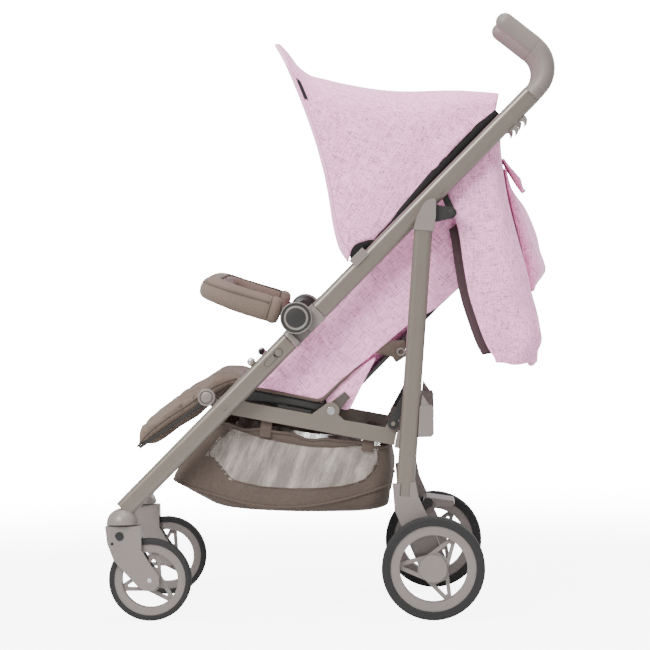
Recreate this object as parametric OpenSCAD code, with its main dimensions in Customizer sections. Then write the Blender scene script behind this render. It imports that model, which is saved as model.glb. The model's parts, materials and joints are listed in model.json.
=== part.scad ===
// Folding baby stroller: oval-tube frame, swivel front casters, reclining seat,
// sun canopy, bumper bar, leg rest and shopping basket.
// X is sideways, the stroller faces -Y, and Z = 0 is the ground.

/* [Wheels] */
// Diameter of the rear wheels
rear_wheel_d = 180; // [176:1:184]
// Width of the rear tyres
rear_tyre_w = 32; // [30:1:34]
// Middle of each rear wheel, sideways from the centre line
rear_wheel_x = 242; // [241:1:246]
// Diameter of the front wheels
front_wheel_d = 145; // [142:1:146]
// Width of the front tyres
front_tyre_w = 24; // [22:1:25]

/* [Frame] */
// Middle of each main tube, sideways from the centre line
tube_x = 195; // [194.8:0.1:195.2]
// Depth of the oval main tubes, front to back
tube_depth = 34; // [33:0.5:35]
// Width of the oval main tubes, side to side
tube_width = 20; // [19:0.5:20]
// Slope of the main tubes above the ground
tube_slope = 44.5; // [44:0.1:45]
// Height of the fold hubs above the ground
hub_z = 528.7; // [527:0.1:530]
// Length of the upper tubes, from the hubs to the grips
upper_reach = 565; // [560:1:570]

/* [Handles] */
// Radius of the soft grips
grip_r = 16.5; // [16:0.1:17]
// Radius of the bend in each grip
grip_bend_r = 50; // [48:1:54]
// Angle of the bend in each grip
grip_bend = 96.5; // [92:0.5:100]
// Length of the straight hand part of each grip
grip_length = 65.5; // [60:0.5:75]

/* [Seat] */
// Half the width of the backrest and seat cushions
cushion_half = 146; // [140:1:147]
// Length of the backrest board
back_length = 400; // [380:5:405]
// Length of the leg rest
legrest_length = 150; // [140:1:155]
// Reach of the bumper bar in front of the hubs
bumper_reach = 159; // [156:1:160]

/* [Hidden] */
$fn = 64;

// Places along Y and Z of the main points
hub_y = -57.7;
rear_axle_y = 174;
rear_axle_z = rear_wheel_d / 2;
front_axle_y = -324;
front_axle_z = front_wheel_d / 2;
caster_y = -371;
// Running clearance between a pin and its bore
fit = 0.05;
pin_r = 4;
hub_pin_r = 5;

// Main tubes, in the tubes' own frame: Y runs up along the tube, Z out of its front face
tube_wall = 1.5;
tube_low = -20;
inner_face = tube_x - tube_width / 2;
outer_face = tube_x + tube_width / 2;
lower_reach = 455;
knuckle_r = 24;
collar_from = 26;
collar_to = 36;
leg_pivot = [334.5, -25];
leg_rod = [320, -65];
rail_pivot = [-201, -20];
canopy_pivot = [152, 1.3];
cross_tube_at = 505;
grip_sleeve = 14.7;

// Rails, in their own frame: Y runs back along the rail from its front pivot, Z up
rail_slope = 11.5;
rail_y = hub_y + rail_pivot[0] * cos(tube_slope) - rail_pivot[1] * sin(tube_slope);
rail_z = hub_z + rail_pivot[0] * sin(tube_slope) + rail_pivot[1] * cos(tube_slope);
rail_length = 328.7;
rail_height = 27;
rail_in = 158;
rail_out = 166;
recline_at = [184, 25.8];
latch_at = [296, 24];
latch_ring = [15, 46];
recline_y = rail_y + recline_at[0] * cos(rail_slope) + recline_at[1] * sin(rail_slope);
recline_z = rail_z - recline_at[0] * sin(rail_slope) + recline_at[1] * cos(rail_slope);

// Rear legs
leg_foot_y = 126;
leg_foot_z = 214;
leg_lean = 5;
leg_length = 468;
leg_in = 206.5;
leg_out = 224.5;
leg_depth = 32;
beam_at = [140, 150];
pedal_at = [166, 186];

// Leg rest and bumper bar, each turned about its own pivot
legrest_y = -220.6;
legrest_z = 390;
legrest_slope = 33.6;
bumper_rise = 17.5;
bumper_arm_x = 170;
bumper_strip = [5, 12];
bumper_corner_r = 50;
bumper_pad_r = 23;

// Canopy
canopy_half = 183;
canopy_rake = 60;
bow_length = 312;
bow_corner_r = 70;
bow_x = 174;
bow_thick = 3;
bow_width = 14;

plastic = [0.61, 0.56, 0.55];
dark_plastic = [0.20, 0.19, 0.19];
alloy = [0.59, 0.55, 0.51];
steel = [0.75, 0.75, 0.76];
tyre_grey = [0.27, 0.27, 0.27];
pink = [0.86, 0.75, 0.82];
taupe = [0.55, 0.48, 0.44];

// ---- shared shapes ----

// Draws a piece at +X and its mirror image at -X
module both_sides() {
    children();
    mirror([1, 0, 0]) children();
}

// Extrudes a side view (Y, Z) from one X to another
module slab(from, to) {
    translate([from, 0, 0]) rotate([90, 0, 90]) linear_extrude(to - from) children();
}

// A round bar across the stroller at a (Y, Z) place
module bar(at, r, from, to) {
    translate([from, at[0], at[1]]) rotate([0, 90, 0]) cylinder(r = r, h = to - from);
}

module on_tubes() {
    translate([0, hub_y, hub_z]) rotate([tube_slope, 0, 0]) children();
}

module on_rails() {
    translate([0, rail_y, rail_z]) rotate([-rail_slope, 0, 0]) children();
}

module on_recline() {
    translate([0, recline_y, recline_z]) rotate([tube_slope, 0, 0]) children();
}

module on_legrest() {
    translate([0, legrest_y, legrest_z]) rotate([legrest_slope, 0, 0]) children();
}

module on_bumper() {
    translate([0, hub_y, hub_z]) rotate([-bumper_rise, 0, 0]) children();
}

// Puts a wheel's own axis (its local Z) across the stroller
module on_axle(x, y, z) {
    translate([x, y, z]) rotate([90, 0, 90]) children();
}

// Oval outline: depth along Y, width along X
module oval(depth, width) {
    square([width, depth - width], center = true);
    translate([0, (depth - width) / 2]) circle(d = width);
    translate([0, (width - depth) / 2]) circle(d = width);
}

module rounded_rect(width, depth, r) {
    square([width - 2 * r, depth], center = true);
    square([width, depth - 2 * r], center = true);
    for (x = [r - width / 2, width / 2 - r])
        for (y = [r - depth / 2, depth / 2 - r])
            translate([x, y]) circle(r);
}

// Solid run of main tube between two places along it
module tube_solid(from, to, grow = 0) {
    translate([tube_x, from, tube_low]) rotate([-90, 0, 0])
        linear_extrude(to - from) oval(tube_depth + 2 * grow, tube_width + 2 * grow);
}

module tube_run(from, to) {
    translate([tube_x, from, tube_low]) rotate([-90, 0, 0]) linear_extrude(to - from)
        difference() {
            oval(tube_depth, tube_width);
            oval(tube_depth - 2 * tube_wall, tube_width - 2 * tube_wall);
        }
}

// ---- lower frame ----

module lower_tubes() {
    color(alloy) both_sides() on_tubes() difference() {
        tube_run(-lower_reach, -collar_to - 2);
        bar(rail_pivot, pin_r, inner_face - 1, outer_face + 1);
    }
}

// Half hinge: a disc and web in one half of the tube's width, and a full-width collar
module knuckle(from, to, bore) {
    difference() {
        union() {
            bar([0, 0], knuckle_r, from, to);
            translate([from, 0.5, tube_low - tube_depth / 2]) cube([to - from, collar_to - 1, tube_depth]);
            tube_solid(collar_from, collar_to, 1);
        }
        bar([0, 0], bore, from - 1, to + 1);
    }
}

module lower_knuckles() {
    color(plastic) both_sides() on_tubes() mirror([0, 1, 0])
        knuckle(inner_face - 0.5, tube_x - 0.3, hub_pin_r);
}

module frame_pins() {
    color(steel) both_sides() on_tubes() {
        bar([0, 0], hub_pin_r, rail_out + 0.7, outer_face + 4);
        bar(rail_pivot, pin_r, rail_in - 2, outer_face + 1.5);
        bar(rail_pivot, 8, rail_out + 0.5, inner_face);
    }
}

module hub_caps() {
    cap_in = outer_face + 1;
    color(plastic) both_sides() on_tubes() difference() {
        union() {
            bar([0, 0], 27.5, cap_in, cap_in + 11);
            bar([0, 0], 19, cap_in + 10, cap_in + 13);
        }
        difference() {
            bar([0, 0], 23.5, cap_in + 9, cap_in + 12);
            bar([0, 0], 19, cap_in + 8, cap_in + 14);
        }
        bar([0, 0], hub_pin_r, cap_in - 1, outer_face + 4);
    }
}

module caster_sockets() {
    socket_z = 171;
    socket_r = 28;
    color(plastic) both_sides() difference() {
        intersection() {
            translate([tube_x, caster_y, socket_z]) sphere(socket_r);
            translate([tube_x, caster_y, socket_z]) cylinder(r = socket_r + 5, h = socket_r + 5);
        }
        translate([tube_x, caster_y, socket_z - 1]) cylinder(r = 6 + fit, h = 20);
        on_tubes() tube_solid(-lower_reach, -300);
    }
}

module front_cross_tube() {
    color(alloy) on_tubes() difference() {
        bar([-435, tube_low], 9, -inner_face, inner_face);
        bar([-435, tube_low], 7.5, -inner_face - 1, inner_face + 1);
    }
}

module legrest_brackets() {
    color(plastic) both_sides() difference() {
        union() {
            bar([legrest_y, legrest_z], 11, 176.5, inner_face - 0.5);
            on_tubes() translate([inner_face - 5.5, -218, -10]) cube([5.5, 16, 26]);
        }
        bar([legrest_y, legrest_z], pin_r, 170, 200);
    }
    color(plastic) both_sides() bar([legrest_y, legrest_z], pin_r, 163, inner_face - 0.5);
}

// Press studs that hold the seat cover on the tubes
module side_snaps() {
    color(steel) both_sides() on_tubes() {
        translate([tube_x, -112, tube_low + tube_depth / 2]) cylinder(r = 5.5, h = 4);
        bar([-66, -20.5], 6, outer_face, outer_face + 2.5);
    }
}

// ---- upper frame ----

module upper_tubes() {
    color(alloy) both_sides() on_tubes() difference() {
        tube_run(collar_to + 1, upper_reach);
        bar(leg_pivot, pin_r, inner_face - 1, outer_face + 1);
    }
}

module upper_knuckles() {
    color(plastic) both_sides() on_tubes() knuckle(tube_x + 0.3, outer_face + 0.5, hub_pin_r + fit);
}

// Grip: a short sleeve on the tube, a bend forwards and a straight hand part with a round end
module handle_grips() {
    bend_step = 0.4;
    color(plastic) both_sides() on_tubes() translate([tube_x, upper_reach, tube_low]) {
        rotate([-90, 0, 0]) cylinder(r = grip_r, h = grip_sleeve);
        translate([0, grip_sleeve, grip_bend_r]) {
            rotate([90, 0, 90]) rotate(-90) rotate_extrude(angle = grip_bend)
                translate([grip_bend_r, 0]) circle(grip_r - bend_step);
            rotate([grip_bend, 0, 0]) translate([0, 0, -grip_bend_r]) rotate([-90, 0, 0]) hand_part();
        }
    }
}

module hand_part() {
    rotate_extrude() {
        square([grip_r, grip_length]);
        intersection() {
            translate([0, grip_length]) circle(grip_r);
            translate([0, grip_length - 1]) square(grip_r + 1);
        }
    }
}

// Claw hooks behind the upper tubes, for a bag
module bag_hooks() {
    color(plastic) both_sides() on_tubes() for (hook_at = [489, 511]) difference() {
        slab(tube_x - 4, tube_x + 4) translate([hook_at, tube_low - tube_depth / 2])
            polygon([[0, 1], [19, 1], [20, -3], [17.5, -9], [11, -13.5], [2.7, -15], [8, -10],
                [9.5, -5], [6, -2.5]]);
        tube_solid(hook_at - 1, hook_at + 21);
    }
}

// Clip round each tube that carries the canopy's pivot pin
module canopy_clamps() {
    clip = [tube_width + 3.5, 32, 17];
    color(plastic) both_sides() on_tubes() {
        difference() {
            translate([inner_face - 1.5, canopy_pivot[0] - clip[1] / 2, 4 - clip[2]]) cube(clip);
            tube_solid(canopy_pivot[0] - clip[1], canopy_pivot[0] + clip[1]);
            bar(canopy_pivot, pin_r, 170, 200);
        }
        bar(canopy_pivot, pin_r, bow_x - 0.5, inner_face + 1);
    }
}

module leg_pins() {
    color(steel) both_sides() on_tubes() bar(leg_pivot, pin_r, 177.5, outer_face + 1);
}

module upper_cross_tube() {
    color(alloy) on_tubes() difference() {
        bar([cross_tube_at, tube_low], 9, -inner_face, inner_face);
        bar([cross_tube_at, tube_low], 7.5, -inner_face - 1, inner_face + 1);
    }
}

// Cloth panel that hangs behind the seat from the upper cross tube
module rear_apron() {
    color(pink) slab(-172, 172)
        polygon([[300, 855], [306, 855], [352, 560], [346, 446], [340, 446], [345, 560]]);
}

module rear_pocket() {
    color(pink) slab(-110, 110) polygon([[316, 800], [340, 742], [372, 612], [358, 566], [353.5, 562]]);
}

// ---- canopy ----

// Discs that turn on the clamps' pins; the bow's arms hinge beside them
module canopy_hubs() {
    color(dark_plastic) both_sides() on_tubes() difference() {
        bar(canopy_pivot, 13, bow_x + bow_thick + 0.5, inner_face - 4.5);
        bar(canopy_pivot, pin_r + fit, 170, 200);
    }
}

// Flat bow: two arms and a cross piece with round corners, in one plane
module canopy_bow() {
    half = bow_x + bow_thick;
    color(dark_plastic) on_tubes() translate([0, canopy_pivot[0], canopy_pivot[1]])
        rotate([canopy_rake, 0, 0]) difference() {
            union() {
                translate([0, 0, -bow_width / 2]) linear_extrude(bow_width) difference() {
                    bow_outline(half, bow_length, bow_corner_r);
                    bow_outline(half - bow_thick, bow_length - bow_thick, bow_corner_r - bow_thick);
                    translate([-half, -bow_length]) square([2 * half, bow_length + 8]);
                }
                both_sides() bar([0, 0], 11, bow_x, half);
            }
            bar([0, 0], pin_r + fit, -200, 200);
        }
}

module bow_outline(half, reach, r) {
    translate([-half, 0]) square([2 * half, reach - r]);
    translate([r - half, reach - 2 * r]) square([2 * (half - r), 2 * r]);
    for (x = [r - half, half - r]) translate([x, reach - r]) circle(r);
}

// Open shell of cloth: two side panels and a top, open at the front and underneath
module canopy_fabric() {
    cloth = 2;
    color(pink) difference() {
        slab(-canopy_half, canopy_half)
            polygon([[44, 648], [28, 631], [10, 673], [4, 752], [-22, 856], [-50, 926], [-84, 1000],
                [-76, 1000], [-39, 957], [26, 939], [69, 930], [165, 924], [300, 916], [294, 880]]);
        slab(cloth - canopy_half, canopy_half - cloth)
            polygon([[60, 600], [-70, 600], [-70, 948], [-40, 951], [26, 937], [69, 928], [165, 922],
                [297, 913], [290, 866]]);
    }
}

// ---- rear frame ----

module on_leg() {
    translate([0, leg_foot_y, leg_foot_z]) rotate([-leg_lean, 0, 0]) children();
}

module rear_legs() {
    color(alloy) both_sides() on_leg() translate([(leg_in + leg_out) / 2, 0, 0])
        linear_extrude(leg_length) difference() {
            oval(leg_depth, leg_out - leg_in);
            oval(leg_depth - 2 * tube_wall, leg_out - leg_in - 2 * tube_wall);
        }
}

module connector_outline() {
    polygon([[149, 679], [156, 702], [168, 724], [177, 731], [187, 733], [190, 729], [189, 702], [185, 676]]);
}

module leg_connectors() {
    color(plastic) both_sides() difference() {
        slab(leg_in - 0.3, leg_out + 1) connector_outline();
        on_leg() translate([(leg_in + leg_out) / 2, 0, 0]) linear_extrude(leg_length)
            oval(leg_depth, leg_out - leg_in);
    }
}

// Bent link that carries each leg on its pin at the inner face of the tube
module leg_hinges() {
    rod = [hub_y + leg_rod[0] * cos(tube_slope) - leg_rod[1] * sin(tube_slope),
        hub_z + leg_rod[0] * sin(tube_slope) + leg_rod[1] * cos(tube_slope)];
    color(dark_plastic) both_sides() {
        on_tubes() difference() {
            slab(178, 184) union() {
                translate(leg_pivot) circle(11);
                translate(leg_rod) circle(9);
                polygon([[328, -33], [340, -33], [328, -66], [313, -66]]);
            }
            bar(leg_pivot, pin_r + fit, 170, 200);
            bar(leg_rod, 6, 170, 200);
        }
        bar(rod, 6, 178, 218);
        difference() {
            slab(208, 216) difference() {
                polygon([[180, 690], [180, 724], rod + [4, 9], rod + [4, -9]]);
                connector_outline();
            }
            bar(rod, 6, 170, 220);
        }
    }
}

// Moulded foot of each leg, from the tube down to the axle
module leg_housings() {
    color(plastic) both_sides() difference() {
        slab(leg_in, leg_out) union() {
            polygon([[105, 236], [145, 239], [150, 212], [196, 104], [176, 66], [154, 78], [108, 190]]);
            translate([rear_axle_y, rear_axle_z]) circle(24);
        }
        on_leg() translate([(leg_in + leg_out) / 2, 0, 0]) linear_extrude(leg_length)
            oval(leg_depth, leg_out - leg_in);
        bar([rear_axle_y, rear_axle_z], hub_pin_r, 200, 230);
        bar([150, 140], 7, 200, 212);
    }
}

module rear_axle() {
    color(steel) bar([rear_axle_y, rear_axle_z], hub_pin_r, -rear_wheel_x - 10, rear_wheel_x + 10);
}

// Hollow beam between the feet that houses the brake rods, with ears for the pedal's pin
module brake_crossbar() {
    color(dark_plastic) {
        difference() {
            union() {
                slab(-leg_in, leg_in) translate(beam_at) rounded_rect(36, 46, 8);
                both_sides() bar([150, 140], 7, leg_in - 1, leg_in + 5.5);
                both_sides() slab(46, 54) union() {
                    translate(pedal_at) circle(9);
                    polygon([pedal_at + [-8, 4], pedal_at + [6, -5], [155, 168], [130, 168]]);
                }
            }
            slab(4 - leg_in, leg_in - 4) translate(beam_at) rounded_rect(30, 40, 5);
            for (x = [-160:40:160]) translate([x - 12, beam_at[0] + 16, beam_at[1] - 14]) cube([24, 4, 28]);
        }
        bar(pedal_at, pin_r, -46, 46);
    }
}

// Catches behind the legs that hold the frame open
module latch_housings() {
    color(plastic) both_sides() difference() {
        union() {
            slab(208, 222) polygon([[155, 372], [176, 372], [179, 366], [179, 322], [174, 317], [151, 317]]);
            slab(211, 219) polygon([[157, 372], [160, 391], [172, 372]]);
        }
        translate([212, 168, 312]) cube([6, 20, 30]);
        on_leg() translate([(leg_in + leg_out) / 2, 0, 0]) linear_extrude(leg_length)
            oval(leg_depth, leg_out - leg_in);
    }
}

// Foot pedal that turns on two ears of the crossbar
module brake_pedal() {
    color(plastic) slab(-45, 45) translate(pedal_at) difference() {
        union() {
            circle(9);
            polygon([[-6, 7], [2, 9], [46, 2], [48, -4], [42, -7], [0, -9]]);
        }
        circle(pin_r + fit);
    }
}

// ---- wheels ----

module tyre(r, r_in, width) {
    edge = 4;
    rotate_extrude() {
        translate([r_in, -width / 2 + edge]) square([r - r_in, width - 2 * edge]);
        translate([r_in, -width / 2]) square([r - r_in - edge, width]);
        for (z = [edge - width / 2, width / 2 - edge]) translate([r - edge, z]) circle(edge);
    }
}

// Rim ring, three-armed spider with hollow arms, and a hub barrel with a round cap
module rim(r, r_in, width, hub_r, first_arm, bore) {
    spider = 8;
    difference() {
        union() {
            rotate_extrude() {
                translate([r_in, -width / 2]) square([3, width]);
                translate([r_in, -3]) square([r - r_in, 6]);
                translate([r_in, width / 2 - 3]) square([r - r_in, 3]);
                translate([r_in, -width / 2]) square([r - r_in, 3]);
            }
            translate([0, 0, -spider / 2]) linear_extrude(spider) for (i = [0:2])
                rotate(first_arm + 120 * i) difference() {
                    polygon([[0, -hub_r * 1.1], [r_in + 1, -6], [r_in + 1, 6], [0, hub_r * 1.1]]);
                    polygon([[hub_r + 3, -hub_r * 0.42], [r_in - 8, -1.6], [r_in - 8, 1.6],
                        [hub_r + 3, hub_r * 0.42]]);
                }
            cylinder(r = hub_r * 0.62, h = width - 4, center = true);
            cylinder(r = hub_r, h = width / 2);
        }
        translate([0, 0, -width]) cylinder(r = bore, h = width + width / 2 - 3);
    }
}

module rear_tyre() {
    tyre(rear_wheel_d / 2, rear_wheel_d / 2 - 15, rear_tyre_w);
}

module rear_rim() {
    rim(rear_wheel_d / 2 - 15, rear_wheel_d / 2 - 31, rear_tyre_w - 4, 24, 55, hub_pin_r + fit);
}

module front_tyre() {
    tyre(front_wheel_d / 2, front_wheel_d / 2 - 9.6, front_tyre_w);
}

module front_rim() {
    rim_w = front_tyre_w - 4;
    difference() {
        rim(front_wheel_d / 2 - 9.6, front_wheel_d / 2 - 23.5, rim_w, 19, 76, pin_r + fit);
        cylinder(r = pin_r + fit, h = 60, center = true);
    }
}

module rear_tyre_left() {
    color(tyre_grey) on_axle(rear_wheel_x, rear_axle_y, rear_axle_z) rear_tyre();
}

module rear_rim_left() {
    color(plastic) on_axle(rear_wheel_x, rear_axle_y, rear_axle_z) rear_rim();
}

module rear_tyre_right() {
    mirror([1, 0, 0]) rear_tyre_left();
}

module rear_rim_right() {
    mirror([1, 0, 0]) rear_rim_left();
}

module front_tyre_left() {
    color(tyre_grey) on_axle(tube_x, front_axle_y, front_axle_z) front_tyre();
}

module front_rim_left() {
    color(plastic) on_axle(tube_x, front_axle_y, front_axle_z) front_rim();
}

module front_tyre_right() {
    mirror([1, 0, 0]) front_tyre_left();
}

module front_rim_right() {
    mirror([1, 0, 0]) front_rim_left();
}

// ---- front casters ----

lock_y = -375;
lock_z = 151;
fork_half = 20;

module fork_outline() {
    polygon([[-400, 168], [-337, 168], [-337, 126], [-322, 100], [-307, 80], [-307, 64], [-316, 54],
        [-332, 54], [-345, 62], [-386, 108], [-397, 138]]);
}

// Shell over the wheel, with a stem that turns in the socket
module fork_left() {
    stem_r = 6;
    color(plastic) difference() {
        union() {
            slab(tube_x - fork_half, tube_x + fork_half) fork_outline();
            translate([tube_x, caster_y, 160]) cylinder(r = stem_r, h = 28);
        }
        bar([front_axle_y, front_axle_z], front_wheel_d / 2 + 3, tube_x - 13, tube_x + 13);
        translate([tube_x - 13, front_axle_y, 0]) cube([26, 60, 150]);
        bar([front_axle_y, front_axle_z], pin_r, tube_x - 30, tube_x + 30);
        bar([lock_y, lock_z], 7.3, tube_x + fork_half - 6, tube_x + fork_half + 2);
        bar([-388, 138], 2.5, tube_x + fork_half - 8, tube_x + fork_half + 2);
    }
}

module front_axle_left() {
    color(steel) bar([front_axle_y, front_axle_z], pin_r, tube_x - fork_half, tube_x + fork_half);
}

module caster_lock_left() {
    color(dark_plastic) bar([lock_y, lock_z], 7, tube_x + fork_half - 3, tube_x + fork_half + 2);
}

module fork_right() {
    mirror([1, 0, 0]) fork_left();
}

module front_axle_right() {
    mirror([1, 0, 0]) front_axle_left();
}

module caster_lock_right() {
    mirror([1, 0, 0]) caster_lock_left();
}

// ---- seat frame ----

// Flat rails with an ear for the backrest's bolt and one for the latch's pin
module side_rails() {
    half = rail_height / 2;
    color(alloy) both_sides() on_rails() {
        difference() {
            slab(rail_in, rail_out) union() {
                translate([-14, -half]) square([rail_length - 10, rail_height]);
                translate(recline_at) circle(15);
                translate([recline_at[0], half]) polygon([[-34, -2], [-12, 21], [14, 7], [28, -2]]);
                translate([latch_at[0], half]) polygon([[-14, -2], [-7, 18], [7, 18], [8.5, -2]]);
            }
            bar([0, 0], pin_r + fit, rail_in - 1, rail_out + 1);
            bar(recline_at, pin_r, rail_in - 1, rail_out + 1);
        }
        bar(latch_at, pin_r, rail_out, rail_out + 11);
    }
}

module rail_end_caps() {
    color(plastic) both_sides() on_rails() {
        slab(rail_in - 1, leg_in - 1) translate([rail_length - 23.5, -rail_height / 2 - 1])
            square([34, rail_height + 2]);
    }
}

module seat_board() {
    color(dark_plastic) on_rails() {
        translate([-150, 78, 15]) cube([300, 85, 6]);
        both_sides() translate([149.5, 90, 15]) cube([rail_in - 149.5, 60, 4]);
        both_sides() translate([156, 90, 12]) cube([rail_in - 156, 60, 3.5]);
    }
}

module seat_pad() {
    color(pink) on_rails() translate([-cushion_half, 52, 21]) cube([2 * cushion_half, 115, 34]);
}

// Padded strap between the legs, with its buckle
module crotch_strap() {
    color(taupe) on_rails() {
        translate([-20, 96, 55]) cube([40, 12, 45]);
        translate([-24, 92, 100]) cube([48, 20, 30]);
    }
}

// Cloth bin under the rails, open at the top
module basket() {
    cloth = 3;
    color(taupe) difference() {
        slab(-157, 157) polygon([[-283, 246], [-200, 193], [-110, 176], [37, 173], [99, 181], [92, 292],
            [-150, 338], [-171, 338]]);
        slab(cloth - 157, 157 - cloth) polygon([[-279, 248], [-199, 197], [-110, 180], [37, 177], [95, 184],
            [89, 360], [-180, 360]]);
    }
}

module backrest_bolts() {
    color(steel) both_sides() on_rails() {
        bar(recline_at, pin_r, 138, rail_out + 1);
        bar(recline_at, 7, rail_out, rail_out + 1.2);
    }
}

// Hook and finger lever at the back of each rail
module fold_latches() {
    color(dark_plastic) both_sides() on_rails() difference() {
        slab(rail_out + 3, rail_out + 9) translate(latch_at) union() {
            circle(10);
            polygon([[-8, 6], [8, 6], [20, 46], [14, 52], [6, 50]]);
            translate(latch_ring) circle(7);
        }
        bar(latch_at, pin_r + fit, rail_out, rail_out + 12);
        bar(latch_at + latch_ring, 3.5, rail_out, rail_out + 12);
    }
}

// Plates between the rails and the backrest that lead it as the frame folds
module recline_brackets() {
    color(plastic) both_sides() on_recline() difference() {
        slab(150.5, rail_in - 0.5) union() {
            circle(14);
            polygon([[0, -12], [40, -8], [40, 6], [0, 12]]);
        }
        bar([0, 0], pin_r + fit, 150, 160);
    }
}

// ---- backrest ----

// Board with a lug at each lower corner
module back_board() {
    color(dark_plastic) on_recline() {
        translate([-148, 26, -8]) cube([296, back_length - 26, 6]);
        both_sides() difference() {
            slab(140, 149.5) union() {
                circle(12);
                polygon([[0, -12], [34, -8], [34, -1.9], [0, 12]]);
            }
            bar([0, 0], pin_r + fit, 130, 160);
        }
    }
}

module back_pad() {
    color(pink) on_recline() translate([-cushion_half, 42, -2]) cube([2 * cushion_half, back_length - 30, 30]);
}

module side_wings() {
    color(pink) both_sides() on_recline() slab(150.5, 155.5)
        polygon([[50, -4], [380, -4], [390, 80], [80, 100], [46, 60]]);
}

module shoulder_straps() {
    color(taupe) both_sides() on_recline() translate([35, 100, 28.5]) cube([42, 220, 7]);
}

// ---- leg rest ----

module legrest_frame() {
    color(dark_plastic) on_legrest() {
        translate([-156, -legrest_length, -9]) cube([312, legrest_length - 14, 5]);
        both_sides() difference() {
            slab(164, 175.5) union() {
                circle(10);
                polygon([[0, 4], [-26, -3], [-26, -9], [0, -10]]);
            }
            bar([0, 0], pin_r + fit, 160, 180);
        }
        both_sides() translate([155.5, -26, -9]) cube([9, 12, 5]);
    }
}

module legrest_pad() {
    color(taupe) on_legrest() translate([-156, -legrest_length - 3, -3.9])
        cube([312, legrest_length - 10, 26]);
}

// ---- bumper bar ----

// Runs an outline (X sideways, Y up) round the U of the bar, from "start" in front of the hubs
module bumper_path(start) {
    straight = bumper_reach - bumper_corner_r;
    both_sides() {
        translate([bumper_arm_x, -start, 0]) rotate([90, 0, 0]) linear_extrude(straight - start) children();
        translate([bumper_arm_x - bumper_corner_r, -straight, 0]) rotate(-90)
            rotate_extrude(angle = 90) translate([bumper_corner_r, 0]) children();
        translate([bumper_arm_x - bumper_corner_r, -bumper_reach, 0]) rotate([90, 0, -90])
            linear_extrude(bumper_arm_x - bumper_corner_r) children();
    }
}

// Flat steel strip with a boss on each hub pin
module bumper_core() {
    color(dark_plastic) on_bumper() {
        difference() {
            union() {
                bumper_path(0) square(bumper_strip, center = true);
                both_sides() bar([0, 0], 18, bumper_arm_x - 2.5, inner_face - 1.5);
            }
            both_sides() bar([0, 0], hub_pin_r + fit, 160, 200);
        }
    }
}

module bumper_pad() {
    color(taupe) on_bumper() bumper_path(32) difference() {
        circle(bumper_pad_r);
        square(bumper_strip, center = true);
    }
}

lower_tubes();
lower_knuckles();
frame_pins();
hub_caps();
caster_sockets();
front_cross_tube();
legrest_brackets();
side_snaps();
upper_tubes();
upper_knuckles();
handle_grips();
bag_hooks();
canopy_clamps();
leg_pins();
upper_cross_tube();
rear_apron();
rear_pocket();
canopy_hubs();
canopy_bow();
canopy_fabric();
rear_legs();
leg_connectors();
leg_hinges();
leg_housings();
rear_axle();
brake_crossbar();
latch_housings();
brake_pedal();
rear_tyre_left();
rear_rim_left();
rear_tyre_right();
rear_rim_right();
side_rails();
rail_end_caps();
seat_board();
seat_pad();
crotch_strap();
basket();
backrest_bolts();
fold_latches();
recline_brackets();
back_board();
back_pad();
side_wings();
shoulder_straps();
legrest_frame();
legrest_pad();
bumper_core();
bumper_pad();
fork_left();
front_axle_left();
front_tyre_left();
front_rim_left();
caster_lock_left();
fork_right();
front_axle_right();
front_tyre_right();
front_rim_right();
caster_lock_right();
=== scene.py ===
import bmesh, bpy, json, math
import numpy as np
from mathutils import Matrix, Vector, noise


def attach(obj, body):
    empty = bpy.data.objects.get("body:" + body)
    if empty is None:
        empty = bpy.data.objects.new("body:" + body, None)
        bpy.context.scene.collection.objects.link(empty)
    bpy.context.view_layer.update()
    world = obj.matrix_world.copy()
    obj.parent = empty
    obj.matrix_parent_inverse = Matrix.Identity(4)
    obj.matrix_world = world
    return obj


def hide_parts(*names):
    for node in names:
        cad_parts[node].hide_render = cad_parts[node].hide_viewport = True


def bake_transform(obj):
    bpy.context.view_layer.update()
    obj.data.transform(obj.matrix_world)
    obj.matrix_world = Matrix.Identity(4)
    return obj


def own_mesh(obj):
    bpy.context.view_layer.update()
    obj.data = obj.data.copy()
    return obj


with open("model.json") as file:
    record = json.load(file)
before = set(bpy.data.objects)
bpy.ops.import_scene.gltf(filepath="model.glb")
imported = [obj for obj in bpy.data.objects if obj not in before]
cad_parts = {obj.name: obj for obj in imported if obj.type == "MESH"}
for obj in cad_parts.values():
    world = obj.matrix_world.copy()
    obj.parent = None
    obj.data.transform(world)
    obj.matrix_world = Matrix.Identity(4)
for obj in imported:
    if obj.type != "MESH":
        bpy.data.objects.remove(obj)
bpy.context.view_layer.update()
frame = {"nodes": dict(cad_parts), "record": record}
NODES = frame["nodes"]

# ---- places, in mm (Y, Z), and slopes in degrees
HUB = (-57.7, 528.7)
BACK_PIVOT = (-1.595, 362.15)
RAIL_PIN = (-187.045, 373.552)
LEGREST_PIVOT = (-220.6, 390.0)
TUBE_SLOPE, RAIL_SLOPE, LEGREST_SLOPE, BUMPER_SLOPE = 44.5, -11.5, 33.6, -17.5
C, S = math.cos(math.radians(TUBE_SLOPE)), math.sin(math.radians(TUBE_SLOPE))
SIDES = (("left", 1), ("right", -1))

# press settings for soft pieces in the fold: axis, anchor in metres and the part of the height that is kept;
# nothing here presses them flat
TUBE_UP = (0, -S, C)
BACK_PRESS = (TUBE_UP, (0, 0.0, 0.36), 0.45)
SEAT_PRESS = ((0, 0.2, 0.98), (0, -0.09, 0.37), 0.6)
SIDE_BACK_PRESS = (TUBE_UP, (0, 0.05, 0.45), 0.5)
SIDE_SEAT_PRESS = (TUBE_UP, (0, -0.08, 0.38), 0.5)
APRON_PRESS = ((0, 1, 0), (0, 0.30, 0.65), 0.35)
BUMPER_PRESS = ((0, 0.3007, 0.9537), (0, -0.0577, 0.5287), 0.5)
BASKET_PRESS = ((0, 0, 1), (0, -0.05, 0.33), 0.4)


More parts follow.
